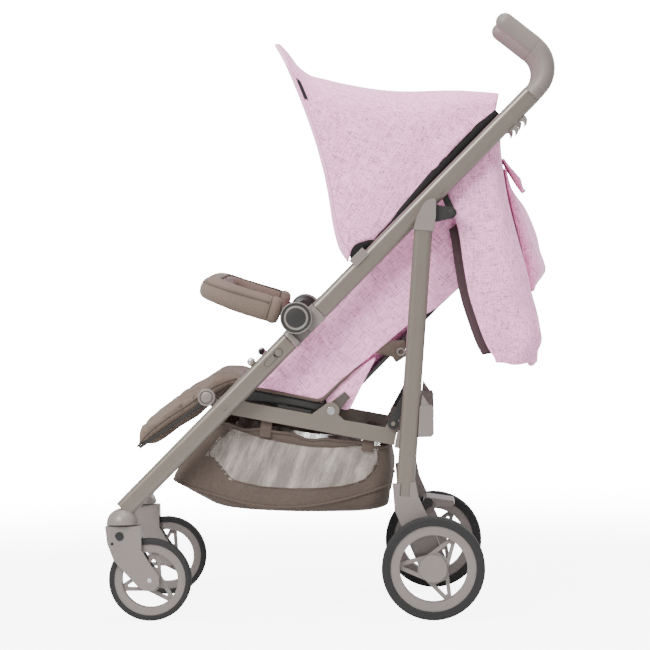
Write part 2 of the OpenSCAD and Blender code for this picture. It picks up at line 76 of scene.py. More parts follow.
def local(origin, degrees):
    c, s = math.cos(math.radians(degrees)), math.sin(math.radians(degrees))
    return lambda a, n: (origin[0] + c * a - s * n, origin[1] + s * a + c * n)


tube_at = local(HUB, TUBE_SLOPE)
back_at = local(BACK_PIVOT, TUBE_SLOPE)
rail_at = local(RAIL_PIN, RAIL_SLOPE)
bumper_at = local(HUB, BUMPER_SLOPE)


def smooth(t):
    t = min(max(t, 0.0), 1.0)
    return t * t * (3 - 2 * t)


def along(points, t):
    """A smooth value on a list of points at t from 0 to 1 (Catmull-Rom)."""
    p = np.asarray(points, float)
    n = len(p) - 1
    x = min(max(t, 0.0), 1.0) * n
    i = min(int(x), n - 1)
    u = x - i
    a, b, c, d = p[max(i - 1, 0)], p[i], p[i + 1], p[min(i + 2, n)]
    bend, twist = 2 * a - 5 * b + 4 * c - d, 3 * b - a - 3 * c + d
    return 0.5 * (2 * b + (c - a) * u + bend * u * u + twist * u ** 3)


def turn(count):
    """Angles of count even steps round a circle."""
    return [2 * math.pi * i / count for i in range(count)]


def squared(value, power):
    """A cosine or sine pushed outwards (power below 1), for rounded boxes."""
    return math.copysign(abs(value) ** power, value)


def keyed(keys, values, t):
    """Smooth value between uneven keys."""
    return along(values, np.interp(t, keys, np.linspace(0, 1, len(keys))))


def wob(x, y, z, scale, seed=0.0):
    return noise.noise(Vector((x * scale + seed, y * scale - seed, z * scale + 2 * seed)))


# ---- materials
class Look:
    """A small helper for building one node material."""

    def __init__(self, name, color, rough, **sockets):
        self.mat = bpy.data.materials.new(name)
        self.mat.use_nodes = True
        self.mat.diffuse_color = (*color, 1)
        self.tree = self.mat.node_tree
        self.bsdf = self.tree.nodes["Principled BSDF"]
        self.bsdf.inputs["Base Color"].default_value = (*color, 1)
        self.bsdf.inputs["Roughness"].default_value = rough
        for k, v in sockets.items():
            self.bsdf.inputs[k.replace("_", " ")].default_value = v
        self.color = color
        self.coord = self.add("ShaderNodeTexCoord")

    def add(self, kind, inputs=(), **props):
        node = self.tree.nodes.new(kind)
        for k, v in props.items():
            setattr(node, k, v)
        for k, v in dict(inputs).items():
            self.put(node.inputs[k], v)
        return node

    def put(self, socket, value):
        if isinstance(value, bpy.types.NodeSocket):
            self.tree.links.new(value, socket)
        else:
            socket.default_value = value

    def math(self, op, a, b=0.0, clamp=False):
        return self.add("ShaderNodeMath", {0: a, 1: b}, operation=op, use_clamp=clamp).outputs[0]

    def scaled(self, value, by, add):
        return self.math("ADD", add, self.math("MULTIPLY", value, by))

    def mapped(self, scale, rot=(0, 0, 0), source=None):
        inputs = {"Vector": source or self.coord.outputs["Object"], "Rotation": rot, "Scale": scale}
        return self.add("ShaderNodeMapping", inputs).outputs[0]

    def noise(self, scale, vector=None, detail=3.0, rough=0.55):
        vector = vector or self.coord.outputs["Object"]
        inputs = {"Vector": vector, "Scale": scale, "Detail": detail, "Roughness": rough}
        return self.add("ShaderNodeTexNoise", inputs).outputs["Fac"]

    def shade(self, amount, base=None):
        """Base colour times a factor."""
        mix = self.add("ShaderNodeMix", data_type="RGBA", blend_type="MULTIPLY")
        mix.inputs["Factor"].default_value = 1.0
        self.put(mix.inputs["A"], base or (*self.color, 1))
        rgb = self.add("ShaderNodeCombineColor", {0: amount, 1: amount, 2: amount}).outputs[0]
        self.put(mix.inputs["B"], rgb)
        return mix.outputs["Result"]

    def mix(self, fac, a, b):
        m = self.add("ShaderNodeMix", data_type="RGBA")
        self.put(m.inputs["Factor"], fac)
        self.put(m.inputs["A"], a)
        self.put(m.inputs["B"], b)
        return m.outputs["Result"]

    def bump(self, height, strength, distance, normal=None):
        n = self.add("ShaderNodeBump", {"Height": height, "Strength": strength, "Distance": distance})
        if normal is not None:
            self.put(n.inputs["Normal"], normal)
        self.put(self.bsdf.inputs["Normal"], n.outputs[0])

    def edges(self, radius):
        """Rounded normals, and a mask that is 1 along sharp edges."""
        bevel = self.add("ShaderNodeBevel", {"Radius": radius}, samples=4)
        geo = self.add("ShaderNodeNewGeometry")
        dot = self.add("ShaderNodeVectorMath", {0: bevel.outputs[0], 1: geo.outputs["Normal"]},
                       operation="DOT_PRODUCT")
        mask = self.math("SUBTRACT", 1.0, dot.outputs["Value"])
        return bevel.outputs[0], self.math("MULTIPLY", mask, 4.0, clamp=True)


def plastic(name, color, rough, grain=1500.0, radius=0.0012, wear=0.35, bump=0.12, metal=0.0, coat=0.0,
            spread=0.07):
    """Moulded or painted finish: fine grain, uneven tone and scuffs along the edges."""
    k = Look(name, color, rough, Metallic=metal, Coat_Weight=coat, Coat_Roughness=0.25)
    normal, edge = k.edges(radius)
    broad = k.noise(18.0)
    fine = k.noise(grain, detail=2.0)
    tone = k.scaled(broad, 2 * spread, 1.0 - spread)
    base = k.shade(tone)
    scuff = k.math("MULTIPLY", edge, k.math("MULTIPLY", k.noise(120.0), wear), clamp=True)
    light = tuple(min(1.0, c * 1.45 + 0.03) for c in color)
    k.put(k.bsdf.inputs["Base Color"], k.mix(scuff, base, (*light, 1)))
    scratch = k.noise(1.0, k.mapped((30, 900, 30), (0.6, 0.2, 0.9)), detail=4.0)
    r = k.math("ADD", rough - 0.08, k.math("MULTIPLY", k.math("ADD", k.noise(45.0), scratch), 0.08))
    k.put(k.bsdf.inputs["Roughness"], r)
    k.bump(fine, bump, 0.0004, normal)
    return k.mat


def cloth(name, color, rot=(0, 0, 0), slub=0.16, thread=420.0, fine=1150.0, sheen=0.25, bump=0.35,
          cool=(0.93, 0.97, 1.03), broad=0.06):
    """Woven cloth: slubby threads along the three axes, each shown on the faces it lies in."""
    k = Look(name, color, 0.88, Sheen_Weight=sheen, Sheen_Roughness=0.45)
    k.bsdf.inputs["Specular IOR Level"].default_value = 0.18
    normal = k.add("ShaderNodeSeparateXYZ", {0: k.coord.outputs["Normal"]})
    turned = k.mapped((1, 1, 1), rot)
    total, tiny = None, None
    for axis in range(3):
        scale = [1.0, 1.0, 1.0]
        scale[axis] = 0.07
        seen = k.math("SUBTRACT", 1.0, k.math("POWER", k.math("ABSOLUTE", normal.outputs[axis]), 2.0))
        threads = k.noise(thread, k.mapped(tuple(scale), source=turned), detail=2.5, rough=0.6)
        part = k.math("MULTIPLY", k.math("SUBTRACT", threads, 0.5), seen)
        total = part if total is None else k.math("ADD", total, part)
        scale[axis] = 0.3
        small = k.noise(fine, k.mapped(tuple(scale), source=turned), detail=1.0)
        part = k.math("MULTIPLY", small, seen)
        tiny = part if tiny is None else k.math("ADD", tiny, part)
    tone = k.scaled(total, slub * 5, 1.0)
    tone = k.math("ADD", tone, k.math("MULTIPLY", k.math("SUBTRACT", tiny, 1.0), slub * 2.2))
    tone = k.math("ADD", tone, k.math("MULTIPLY", k.math("SUBTRACT", k.noise(9.0), 0.5), broad * 2))
    base = k.shade(tone)
    tint = tuple(c * m for c, m in zip(color, cool))
    base = k.mix(k.math("MULTIPLY", k.noise(thread * 0.55), 0.5), base, k.shade(tone, (*tint, 1)))
    k.put(k.bsdf.inputs["Base Color"], base)
    height = k.math("ADD", k.math("MULTIPLY", total, 1.6), k.math("MULTIPLY", tiny, 0.5))
    k.bump(height, bump, 0.0009)
    return k.mat


def net(name, color):
    """Open netting with round holes, in lighter and darker pulls."""
    k = Look(name, color, 0.8, Sheen_Weight=0.2)
    k.bsdf.inputs["Specular IOR Level"].default_value = 0.2
    cells = k.add("ShaderNodeTexVoronoi",
                  {"Vector": k.mapped((0.2, 1, 1), (0.785, 0, 0)), "Scale": 430.0, "Randomness": 0.1})
    hole = k.math("LESS_THAN", cells.outputs["Distance"], 0.40)
    slanted = k.mapped((1, 1, 1), (0.42, 0, 0))
    pulls = k.noise(1.0, k.mapped((5, 58, 13), source=slanted), detail=4.0, rough=0.68)
    light = k.math("MULTIPLY", k.math("SUBTRACT", pulls, 0.42), 3.4, clamp=True)
    tone = k.scaled(light, 0.75, 0.62)
    k.put(k.bsdf.inputs["Base Color"], k.shade(tone))
    open_part = k.math("MULTIPLY", hole, k.scaled(light, 0.36, 0.30))
    k.put(k.bsdf.inputs["Alpha"], k.math("SUBTRACT", 1.0, open_part))
    k.bump(cells.outputs["Distance"], 0.3, 0.0006)
    return k.mat


def tyre_look(name, color):
    """Rubber with shallow bands across the tread and a little dust."""
    k = Look(name, color, 0.82)
    k.bsdf.inputs["Specular IOR Level"].default_value = 0.3
    normal, edge = k.edges(0.0015)
    tread = k.add("ShaderNodeTexWave",
                  {"Vector": k.mapped((1, 0, 0)), "Scale": 75.0, "Distortion": 0.4, "Detail": 1.0},
                  wave_type="BANDS", bands_direction="X")
    grain = k.noise(900.0, detail=2.0)
    dust = k.noise(26.0, detail=4.0)
    base = k.shade(k.scaled(dust, 0.36, 0.82))
    k.put(k.bsdf.inputs["Base Color"], k.mix(k.math("MULTIPLY", edge, 0.25), base, (0.12, 0.115, 0.11, 1)))
    k.put(k.bsdf.inputs["Roughness"], k.scaled(dust, 0.2, 0.7))
    height = k.math("ADD", k.math("MULTIPLY", tread.outputs["Fac"], 0.5), k.math("MULTIPLY", grain, 0.5))
    k.bump(height, 0.35, 0.0008, normal)
    return k.mat


PAINT = plastic("satin_paint", (0.170, 0.145, 0.120), 0.34, grain=2200, radius=0.001, bump=0.04, metal=0.35,
                coat=0.25, spread=0.05)
MOULD = plastic("moulded_plastic", (0.190, 0.162, 0.149), 0.40, bump=0.10, coat=0.15)
GRIPS = plastic("grip_rubber", (0.185, 0.157, 0.143), 0.5, grain=1100, bump=0.2)
DARK = plastic("dark_plastic", (0.017, 0.016, 0.015), 0.42, wear=0.25)
# dark brown plastic; on the ring round each tube recess it is painted groove shade
SHADE = plastic("brown_plastic_and_groove_shade", (0.070, 0.056, 0.048), 0.45, wear=0.2)
BLACK = plastic("button_plastic", (0.010, 0.010, 0.011), 0.22, wear=0.2)
STEEL = plastic("plated_steel", (0.62, 0.61, 0.60), 0.2, metal=1.0, bump=0.03, wear=0.1)
TYRE = tyre_look("tyre_rubber", (0.024, 0.023, 0.023))
ROSE = (0.97, 0.43, 0.68)
PINK = cloth("pink_linen", ROSE, rot=(0.45, 0, 0.05), slub=0.38, thread=850)
PINK_BACK = cloth("pink_linen_apron", ROSE, rot=(-0.12, 0, 0.0), slub=0.38, thread=850)
PINK_SEAT = cloth("pink_linen_seat", ROSE, rot=(-0.78, 0, 0.0), slub=0.34, thread=800)
TRIM = cloth("pink_binding", (0.97, 0.45, 0.69), rot=(0.3, 0, 0), slub=0.16, thread=700)
SEAM = cloth("pink_seam_thread", (0.52, 0.31, 0.40), slub=0.1, thread=900, fine=1500)
TAUPE = cloth("taupe_cloth", (0.156, 0.118, 0.096), slub=0.08, thread=1300, fine=1500, sheen=0.15, bump=0.3,
              cool=(1.04, 1.0, 0.95), broad=0.1)
BAG = cloth("basket_cloth", (0.094, 0.071, 0.057), slub=0.10, thread=900, fine=1500, sheen=0.12, bump=0.3,
            broad=0.12)
PIPING = cloth("taupe_piping", (0.098, 0.072, 0.058), slub=0.12, thread=900, fine=1500, sheen=0.1)
# dark purple-brown cloth: painted shade, the pink apron's inner face in shadow
APRON_SHADE_CLOTH = cloth("apron_inside_painted_shade", (0.075, 0.045, 0.050), slub=0.08, thread=700, sheen=0.1)
WEBBING = cloth("black_webbing", (0.014, 0.013, 0.013), slub=0.2, thread=900, sheen=0.1, bump=0.5)
NET = net("basket_net", (0.31, 0.268, 0.24))

LOOKS = {"alloy": PAINT, "plastic": MOULD, "dark_plastic": DARK, "steel": STEEL, "tyre": TYRE,
         "pink_fabric": PINK, "taupe_fabric": TAUPE}
for part in frame["record"]["subparts"]:
    o = NODES[part["node"]]
    o.data.materials.clear()
    o.data.materials.append(LOOKS[part["material_slot"]])
OWN_LOOKS = {"handle_grips": GRIPS, "frame_pins": PAINT, "leg_pins": PAINT, "side_snaps": PAINT,
             "recline_brackets": SHADE, "caster_lock_left": BLACK, "caster_lock_right": BLACK}
for name, look in OWN_LOOKS.items():
    NODES[name].data.materials[0] = look


# ---- mesh helpers (mm in, metres out)
def mesh(name, verts, faces, mat):
    me = bpy.data.meshes.new(name)
    me.from_pydata([[c / 1000.0 for c in v] for v in verts], [], faces)
    me.validate()
    me.shade_smooth()
    o = bpy.data.objects.new(name, me)
    bpy.context.scene.collection.objects.link(o)
    for m in mat if isinstance(mat, (list, tuple)) else [mat]:
        me.materials.append(m)
    return o


def grid_faces(nu, nv, close_u=False, close_v=False):
    out = []
    for i in range(nu if close_u else nu - 1):
        for j in range(nv if close_v else nv - 1):
            a, b = i * nv, (i + 1) % nu * nv
            c, d = j, (j + 1) % nv
            out.append((a + c, b + c, b + d, a + d))
    return out


def end_caps(nu, nv):
    """The faces that close both ends of a grid that is closed across."""
    return [tuple(range(nv))[::-1], tuple((nu - 1) * nv + j for j in range(nv))]


def two_layers(n, m):
    """Faces of a closed pad: a lower and an upper grid of n by m cells, joined round the rim."""
    w, size = m + 1, (n + 1) * (m + 1)
    faces = []
    for i in range(n):
        for j in range(m):
            q = (i * w + j, (i + 1) * w + j, (i + 1) * w + j + 1, i * w + j + 1)
            faces += [q[::-1], tuple(v + size for v in q)]
    rim = [i * w for i in range(n)] + [n * w + j for j in range(m)]
    rim += [i * w + m for i in range(n, 0, -1)] + [j for j in range(m, 0, -1)]
    return faces + [(p, q, q + size, p + size) for p, q in zip(rim, rim[1:] + rim[:1])]


def surface(name, rows, mat, close_u=False, close_v=False):
    nu, nv = len(rows), len(rows[0])
    return mesh(name, [p for r in rows for p in r], grid_faces(nu, nv, close_u, close_v), mat)


def bake(o):
    """Applies the modifiers to the mesh."""
    dg = bpy.context.evaluated_depsgraph_get()
    dg.update()
    me = bpy.data.meshes.new_from_object(o.evaluated_get(dg))
    o.modifiers.clear()
    o.data = me
    me.shade_smooth()
    return o


def fix_normals(o):
    bm = bmesh.new()
    bm.from_mesh(o.data)
    bmesh.ops.recalc_face_normals(bm, faces=bm.faces)
    bm.to_mesh(o.data)
    bm.free()
    return o


def shell(o, thick):
    """Gives a sheet its thickness, in mm, on both faces."""
    m = o.modifiers.new("thick", "SOLIDIFY")
    m.thickness = thick / 1000.0
    m.offset = 0.0
    return bake(o)


def refined(o):
    s = o.modifiers.new("sub", "SUBSURF")
    s.levels = s.render_levels = 1
    return bake(o)


def coords(o):
    co = np.zeros(len(o.data.vertices) * 3)
    o.data.vertices.foreach_get("co", co)
    return co.reshape(-1, 3)


def set_coords(o, co):
    o.data.vertices.foreach_set("co", np.ascontiguousarray(co, float).ravel())
    o.data.update()


def sweep(name, path, section, mat, closed=False, up=None):
    """A closed section (a, b) in mm carried along a path of 3-D points; a lies sideways, b along "up"."""
    pts = [Vector(p) for p in path]
    n = len(pts)
    rows = []
    prev = None
    for i, p in enumerate(pts):
        a = pts[(i - 1) % n] if closed or i > 0 else p
        b = pts[(i + 1) % n] if closed or i < n - 1 else p
        t = (b - a).normalized()
        if up is not None:
            u = Vector(up)
        elif prev is not None:
            u = prev
        else:
            u = Vector((0, 0, 1)) if abs(t.z) < 0.9 else Vector((1, 0, 0))
        side = t.cross(u).normalized()
        u = side.cross(t).normalized()
        prev = u
        sec = section(i / max(n - 1, 1)) if callable(section) else section
        rows.append([tuple(p + side * x + u * y) for x, y in sec])
    m = len(rows[0])
    verts = [v for r in rows for v in r]
    faces = grid_faces(n, m, closed, True)
    if not closed:
        faces += end_caps(n, m)
    return fix_normals(mesh(name, verts, faces, mat))


def ring(r, sides=10):
    return [(r * math.cos(a), r * math.sin(a)) for a in turn(sides)]


def flat_band(width, thick, e):
    """The section of a strap whose edges are rounded over e."""
    w, h = width / 2, thick / 2
    return [(-w, -h + e * 0.5), (-w + e, -h), (0, -h * 0.9), (w - e, -h), (w, -h + e * 0.5),
            (w, h - e * 0.5), (w - e, h), (0, h * 0.9), (-w + e, h), (-w, h - e * 0.5)]


def mirrored(o, name):
    """A mirror copy across X = 0."""
    c = o.copy()
    c.data = o.data.copy()
    c.name = name
    bpy.context.scene.collection.objects.link(c)
    co = coords(c)
    co[:, 0] *= -1
    set_coords(c, co)
    c.data.flip_normals()
    return c


def on_side(o, side):
    """Names a piece for its side; the right one is the mirror copy."""
    name = f"{o.name}_{side}"
    if side == "left":
        o.name = name
        return o
    m = mirrored(o, name)
    bpy.data.objects.remove(o)
    return m


def stitch(name, path, mat, length=3.2, gap=2.2, r=0.55):
    """A row of short raised threads along a path."""
    pts = [Vector(p) for p in path]
    seg = [(b - a).length for a, b in zip(pts, pts[1:])]
    total = sum(seg)
    acc = np.concatenate([[0], np.cumsum(seg)])
    verts, faces = [], []

    def at(s):
        i = min(int(np.searchsorted(acc, s, "right")) - 1, len(seg) - 1)
        return pts[i].lerp(pts[i + 1], (s - acc[i]) / max(seg[i], 1e-6))

    s = 0.0
    while s + length < total:
        a, b = at(s), at(s + length)
        t = (b - a).normalized()
        u = t.orthogonal().normalized()
        w = t.cross(u)
        base = len(verts)
        for q, k in ((a, 0.3), (a.lerp(b, 0.5), 1.0), (b, 0.3)):
            for c in range(6):
                ang = math.pi / 3 * c
                verts.append(tuple(q + (u * math.cos(ang) + w * math.sin(ang)) * r * k))
        for k in range(2):
            low = base + 6 * k
            for c in range(6):
                d = (c + 1) % 6
                faces.append((low + c, low + d, low + 6 + d, low + 6 + c))
        s += length + gap
    return mesh(name, verts, faces, mat)


PUFF_FRAMES = 20


def puff(o, pressure, cap):
    """Swells a closed mesh as stuffed cloth, moving no point further than cap, in mm."""
    m = o.modifiers.new("remesh", "REMESH")
    m.mode = "VOXEL"
    m.voxel_size = 0.005
    bake(o)
    rest = coords(o)
    sc = bpy.context.scene
    c = o.modifiers.new("cloth", "CLOTH")
    c.settings.quality = 5
    c.settings.mass = 0.25
    c.settings.tension_stiffness = c.settings.compression_stiffness = 18
    c.settings.shear_stiffness = 6
    c.settings.bending_stiffness = 0.4
    c.settings.use_pressure = True
    c.settings.uniform_pressure_force = pressure
    c.settings.effector_weights.gravity = 0
    c.point_cache.frame_start = 1
    c.point_cache.frame_end = PUFF_FRAMES + 1
    for f in range(1, PUFF_FRAMES + 1):
        sc.frame_set(f)
    move = coords(o.evaluated_get(bpy.context.evaluated_depsgraph_get())) - rest
    o.modifiers.clear()
    sc.frame_set(1)
    far = np.linalg.norm(move, axis=1, keepdims=True)
    move *= np.minimum(1.0, cap / 1000.0 / np.maximum(far, 1e-9))
    set_coords(o, rest + move)
    return refined(o)


def block(name, at, a, n, x, mat, crown):
    """A closed box in one of the local frames: along a, height n and half width x, in a fine grid."""
    cells = 14
    verts = []

    def top(i, j):
        s, t = i / cells, j / cells
        return crown * (1 - (2 * s - 1) ** 4) * (1 - (2 * t - 1) ** 4)

    for k in (0, 1):
        for i in range(cells + 1):
            for j in range(cells + 1):
                h = n[k] + (top(i, j) if k else 0)
                y, z = at(a[0] + (a[1] - a[0]) * i / cells, h)
                verts.append((-x + 2 * x * j / cells, y, z))
    return fix_normals(mesh(name, verts, two_layers(cells, cells), mat))


def soft(o, body, nodes=(), press=None):
    """Attaches a soft piece to the body it rides on and hides the parts it replaces; a press only gives it
    its own mesh.
    """
    if nodes:
        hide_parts(*nodes)
    if press:
        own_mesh(o)
    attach(o, body)


# ---- canopy: one curved sheet
FRONT = [(34, 622), (18, 648), (8, 690), (2, 735), (-5, 775), (-17, 825), (-32, 873), (-46, 912), (-60, 948),
         (-74, 980), (-86, 1001)]
TOP_V = [0, 0.05, 0.10, 0.15, 0.22, 0.32, 0.48, 0.66, 0.84, 1.0]
TOP = [(-86, 1001), (-76, 1001), (-58, 976), (-30, 953), (0, 946), (40, 938), (95, 929), (165, 924),
       (240, 921), (303, 913)]
ROUND = [70, 74, 80, 86, 88, 84, 74, 60, 40, 16]
HALF = 182.5


def canopy_along(v):
    """How far up the tube the cloth's edge lies, from the hub."""
    return 131 + 371 * v


def canopy_foot(v):
    front = 0.155
    if v < front:
        n = 2.5 + 11.5 * math.sin(math.pi * v / front)
    else:
        w = (v - front) / (1 - front)
        n = -2.0 + 14.0 * math.sin(math.pi * w ** 1.35) ** 0.8 * (0.35 + 0.65 * w) + 7.0 * w ** 3
    return tube_at(canopy_along(v), n)


def canopy_point(v, t, lift=0.0):
    """v runs from the front edge to the rear edge, t from a side's lower edge to the centre of the top."""
    foot = np.array(canopy_foot(v))
    top = np.array(keyed(TOP_V, TOP, v))
    length = float(np.linalg.norm(top - foot))
    r = min(float(keyed(TOP_V, [(q,) for q in ROUND], v)[0]), length * 0.5)
    side, corner, flat = length - r, r * math.pi / 2, HALF - r
    s = t * (side + corner + flat)
    belly = 0.0
    if s < side:
        eta, x, out, up = s, HALF, 1.0, 0.0
        belly = math.sin(math.pi * s / max(side, 1))
    elif s < side + corner:
        a = (s - side) / r
        eta, x, out, up = side + r * math.sin(a), HALF - r + r * math.cos(a), math.cos(a), math.sin(a)
    else:
        eta, x, out, up = length, HALF - r - (s - side - corner), 0.0, 1.0
    f = eta / length
    first, last = np.array(FRONT[0]), np.array(FRONT[-1])
    bulge = (np.array(along(FRONT, f)) - (first + (last - first) * f)) * (1 - v) ** 2.2
    y, z = foot + (top - foot) * f + bulge
    mid = 1 - (x / HALF) ** 2
    y += -7 * mid * (1 - smooth(v / 0.2)) * f
    z += mid * (7 * (1 - smooth(v / 0.15)) + 3) * (1 - 0.5 * v)
    # slack cloth: a dip behind the bow, soft pulls towards the rear corner and small puckers at the tube
    z -= 7 * up * math.sin(math.pi * min(max((v - 0.12) / 0.85, 0), 1)) * (0.4 + 0.6 * mid)
    pull = math.sin(9.0 * (f - 0.9 * v) + 1.4) * math.sin(math.pi * v) * 1.6
    pucker = math.sin(46 * v + 2.0 * math.sin(9 * v)) * math.exp(-s / 26.0) * smooth(v / 0.2)
    soft_noise = wob(x, y, z, 0.011, 3.1) * 3.0 * smooth(v / 0.12) * smooth((1 - v) / 0.1)
    belly *= 4.0 * (1 - v) * smooth(v / 0.08) - 1.2 * smooth(v / 0.1)
    x += out * (belly + pull + pucker + soft_noise + lift)
    z += up * (soft_noise * 0.8 + lift)
    return x, float(y), float(z)


def canopy_rows(vs, lift=0.0):
    rows = []
    for v in vs:
        side = [canopy_point(v, t, lift) for t in np.linspace(0, 1, 56)]
        rows.append(side + [(-x, y, z) for x, y, z in side[-2::-1]])
    return rows


steps = np.concatenate([np.linspace(0, 0.2, 22), np.linspace(0.2, 1.0, 54)[1:]])
canopy = surface("canopy_cover", canopy_rows(steps), PINK)
shell(canopy, 1.6)
binding = shell(surface("canopy_front_binding", canopy_rows(np.linspace(0, 0.040, 6), 1.3), TRIM), 1.2)
seam = stitch("canopy_front_stitch", canopy_rows([0.043], 1.0)[0], SEAM, 3.4, 1.2, 0.4)
bow_line = sweep("canopy_bow_seam", canopy_rows([0.175], 0.9)[0], ring(0.9, 6), TRIM)
# black webbing that fills the gap between the cloth and each tube
rows = []
for v in np.linspace(0.04, 1.0, 56):
    foot = canopy_foot(v)
    low = tube_at(canopy_along(v), -4.0)
    middle = [(a + b) / 2 for a, b in zip(low, foot)]
    rows.append([(184.0, *low), (185.5, *middle), (183.6, *foot), (181.5, foot[0] - 2.0, foot[1] + 2.5)])
strip = shell(surface("canopy_tube_strip_left", rows, WEBBING), 1.4)
strip_r = mirrored(strip, "canopy_tube_strip_right")
# small plain tag behind the front seam
rows = [[canopy_point(v, t, 1.6) for t in np.linspace(0.49, 0.565, 8)] for v in np.linspace(0.043, 0.075, 4)]
tag = shell(surface("canopy_plain_tag", rows, BLACK), 1.4)
for o in (canopy, binding, seam, bow_line, tag):
    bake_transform(o)
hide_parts("canopy_fabric")
for o in (strip, strip_r):
    soft(o, "upper_frame")


# ---- apron behind the seat
APRON_FRONT = [(203, 762), (217, 716), (230, 668), (237, 615), (246, 562), (259, 518), (275, 474), (291, 446)]
APRON_REAR = [(303, 862), (306, 800), (313, 745), (324, 690), (340, 620), (352, 560), (364, 510), (369, 478),
              (362, 458)]


def apron_rows(lift=0.0, k0=0.0, k1=1.0, count=46):
    rows = []
    for k in np.linspace(k0, k1, count):
        fy, fz = along(APRON_FRONT, k)
        ry, rz = along(APRON_REAR, k)
        half = 176 - 10 * smooth((k - 0.55) / 0.45)
        r = 26 + 8 * k
        reach = ry - fy - r
        slope = (rz - fz) / (ry - fy)
        side = [(half, fy + reach * t, fz + slope * reach * t, 1.0, 0.0) for t in np.linspace(0, 1, 15)[:-1]]
        for a in np.linspace(0, math.pi / 2, 9)[:-1]:
            far = reach + r * math.sin(a)
            side.append((half - r + r * math.cos(a), fy + far, fz + slope * far, math.cos(a), math.sin(a)))
        for t in np.linspace(0, 1, 15):
            side.append(((half - r) * (1 - t), ry, rz, 0.0, 1.0))
        row = []
        for x, y, z, ox, oy in side:
            fold = math.sin(x * 0.045 + 2.2 * k) * 5.5 * k + math.sin(x * 0.021 + 1.1) * 4 * k
            wave = wob(x, y, z, 0.013, 7.7) * 5.0 * (0.3 + k)
            gather = math.sin((y - 200) * 0.065 + 3 * k) * 2.2 * (0.3 + k)
            row.append((x + ox * (gather + wave + lift), y + oy * (fold + wave + lift) - 3 * k * ox,
                        z - 3 * math.sin(x * 0.03) * k))
        rows.append(row + [(-x, y, z + 1.5 * math.sin(z * 0.05)) for x, y, z in row[-2::-1]])
    return rows


rows = apron_rows()
# the lower end turns in and up, as a soft hem that shows its inside
last = rows[-1]
for i, (drop, inward) in enumerate(((9, 3), (14, 9), (13, 16), (6, 22), (-6, 26), (-20, 27))):
    extra = 14 if i < 4 else 7
    rows.append([(x * (1 - inward / 420.0), y - inward * (0.55 if y > 320 else -0.25),
                  z - drop * (0.7 + 0.3 * math.cos(x * 0.02)) - extra * smooth((y - 280) / 60))
                 for x, y, z in last])
apron = surface("apron_cover", rows, PINK_BACK)
shell(apron, 1.8)
hems = []
edge = [r[0] for r in apron_rows(1.4)]
for side, sign in SIDES:
    path = [((x + 0.4) * sign, y + 9.0, z - 3.5) for x, y, z in edge]
    hems.append(stitch("apron_hem_" + side, path, SEAM, 2.6, 2.6, 0.35))
# a dark sheet just inside the apron: painted shade for the shaded inner face of the pink cloth
rows = [[(x * 0.93, y - 26 if y > 300 else y - 15, z - 4) for x, y, z in r]
        for r in apron_rows(0, 0.25, 0.93, 26)]
apron_shade_sheet = shell(surface("apron_inside_shade_sheet", rows, APRON_SHADE_CLOTH), 1.2)


def apron_back(z):
    """Y of the apron's back at height z."""
    return float(np.interp(z, [p[1] for p in APRON_REAR[::-1]], [p[0] for p in APRON_REAR[::-1]]))


# pocket with a flap on the apron's back
rows = []
for k in np.linspace(0, 1, 26):
    z = 778 - 216 * k
    base = apron_back(z)
    deep = 5 + 30 * smooth(k / 0.55) * smooth((1.02 - k) / 0.22)
    half = 104 + 5 * math.sin(math.pi * k)
    row = []
    for t in np.linspace(-1, 1, 41):
        x = half * math.sin(t * math.pi / 2)
        prof = max(math.cos(t * math.pi / 2), 0.0) ** 0.45
        wave = (math.sin(t * 7.0 + 2 * k) * 2.6 + wob(x, 0, z, 0.02, 1.3) * 4.5) * prof
        row.append((x, base + 3 + deep * prof + wave * smooth(k / 0.3),
                    z - 6 * math.cos(t * 3) * (1 - k) + 7 * k * (1 - prof)))
    rows.append(row)
pocket = surface("apron_pocket", rows, PINK_BACK)
shell(pocket, 1.6)
rows = []
for k in np.linspace(0, 1, 14):
    z = 800 - 60 * k
    base = apron_back(z)
    row = []
    for t in np.linspace(-1, 1, 31):
        x = 112 * t
        trim = 26 * abs(t) ** 5 * k
        row.append((x, base + 4 + 31 * k ** 1.2 * (1 - 0.35 * t * t) + 1.8 * math.sin(t * 8 + 1) * k,
                    z + trim + 2 * math.sin(t * 5) * k))
    rows.append(row)
flap = surface("apron_pocket_flap", rows, PINK_BACK)
shell(flap, 3.2)
edge = stitch("apron_flap_stitch", [(x, y + 2.2, z + 6) for x, y, z in rows[-1]], TRIM, 3.0, 2.2, 0.45)
soft(apron, "upper_frame", ["rear_apron"], press=APRON_PRESS)
soft(pocket, "upper_frame", ["rear_pocket"], press=APRON_PRESS)
for o in (flap, edge, apron_shade_sheet, *hems):
    soft(o, "upper_frame", press=APRON_PRESS)

# ---- back and seat cushions
back = block("back_cushion", back_at, (48, 406), (1, 22), 134, PINK_SEAT, 5)
puff(back, 4.0, 10)


def pull(o, origin, degrees, depth):
    """Presses the top of a pad in along its own height by depth(x, along), in mm."""
    co = coords(o)
    c, s = math.cos(math.radians(degrees)), math.sin(math.radians(degrees))
    dy, dz = co[:, 1] * 1000 - origin[0], co[:, 2] * 1000 - origin[1]
    a, n = c * dy + s * dz, -s * dy + c * dz
    mid = (n.max() + n.min()) / 2
    d = np.array([depth(x, q) for x, q in zip(co[:, 0] * 1000, a)])
    d *= np.clip((n - mid) / max(n.max() - mid, 1) * 1.6, 0, 1)
    co[:, 1] += s * d / 1000
    co[:, 2] -= c * d / 1000
    set_coords(o, co)


def groove(d, width):
    return math.exp(-(d / width) ** 2)


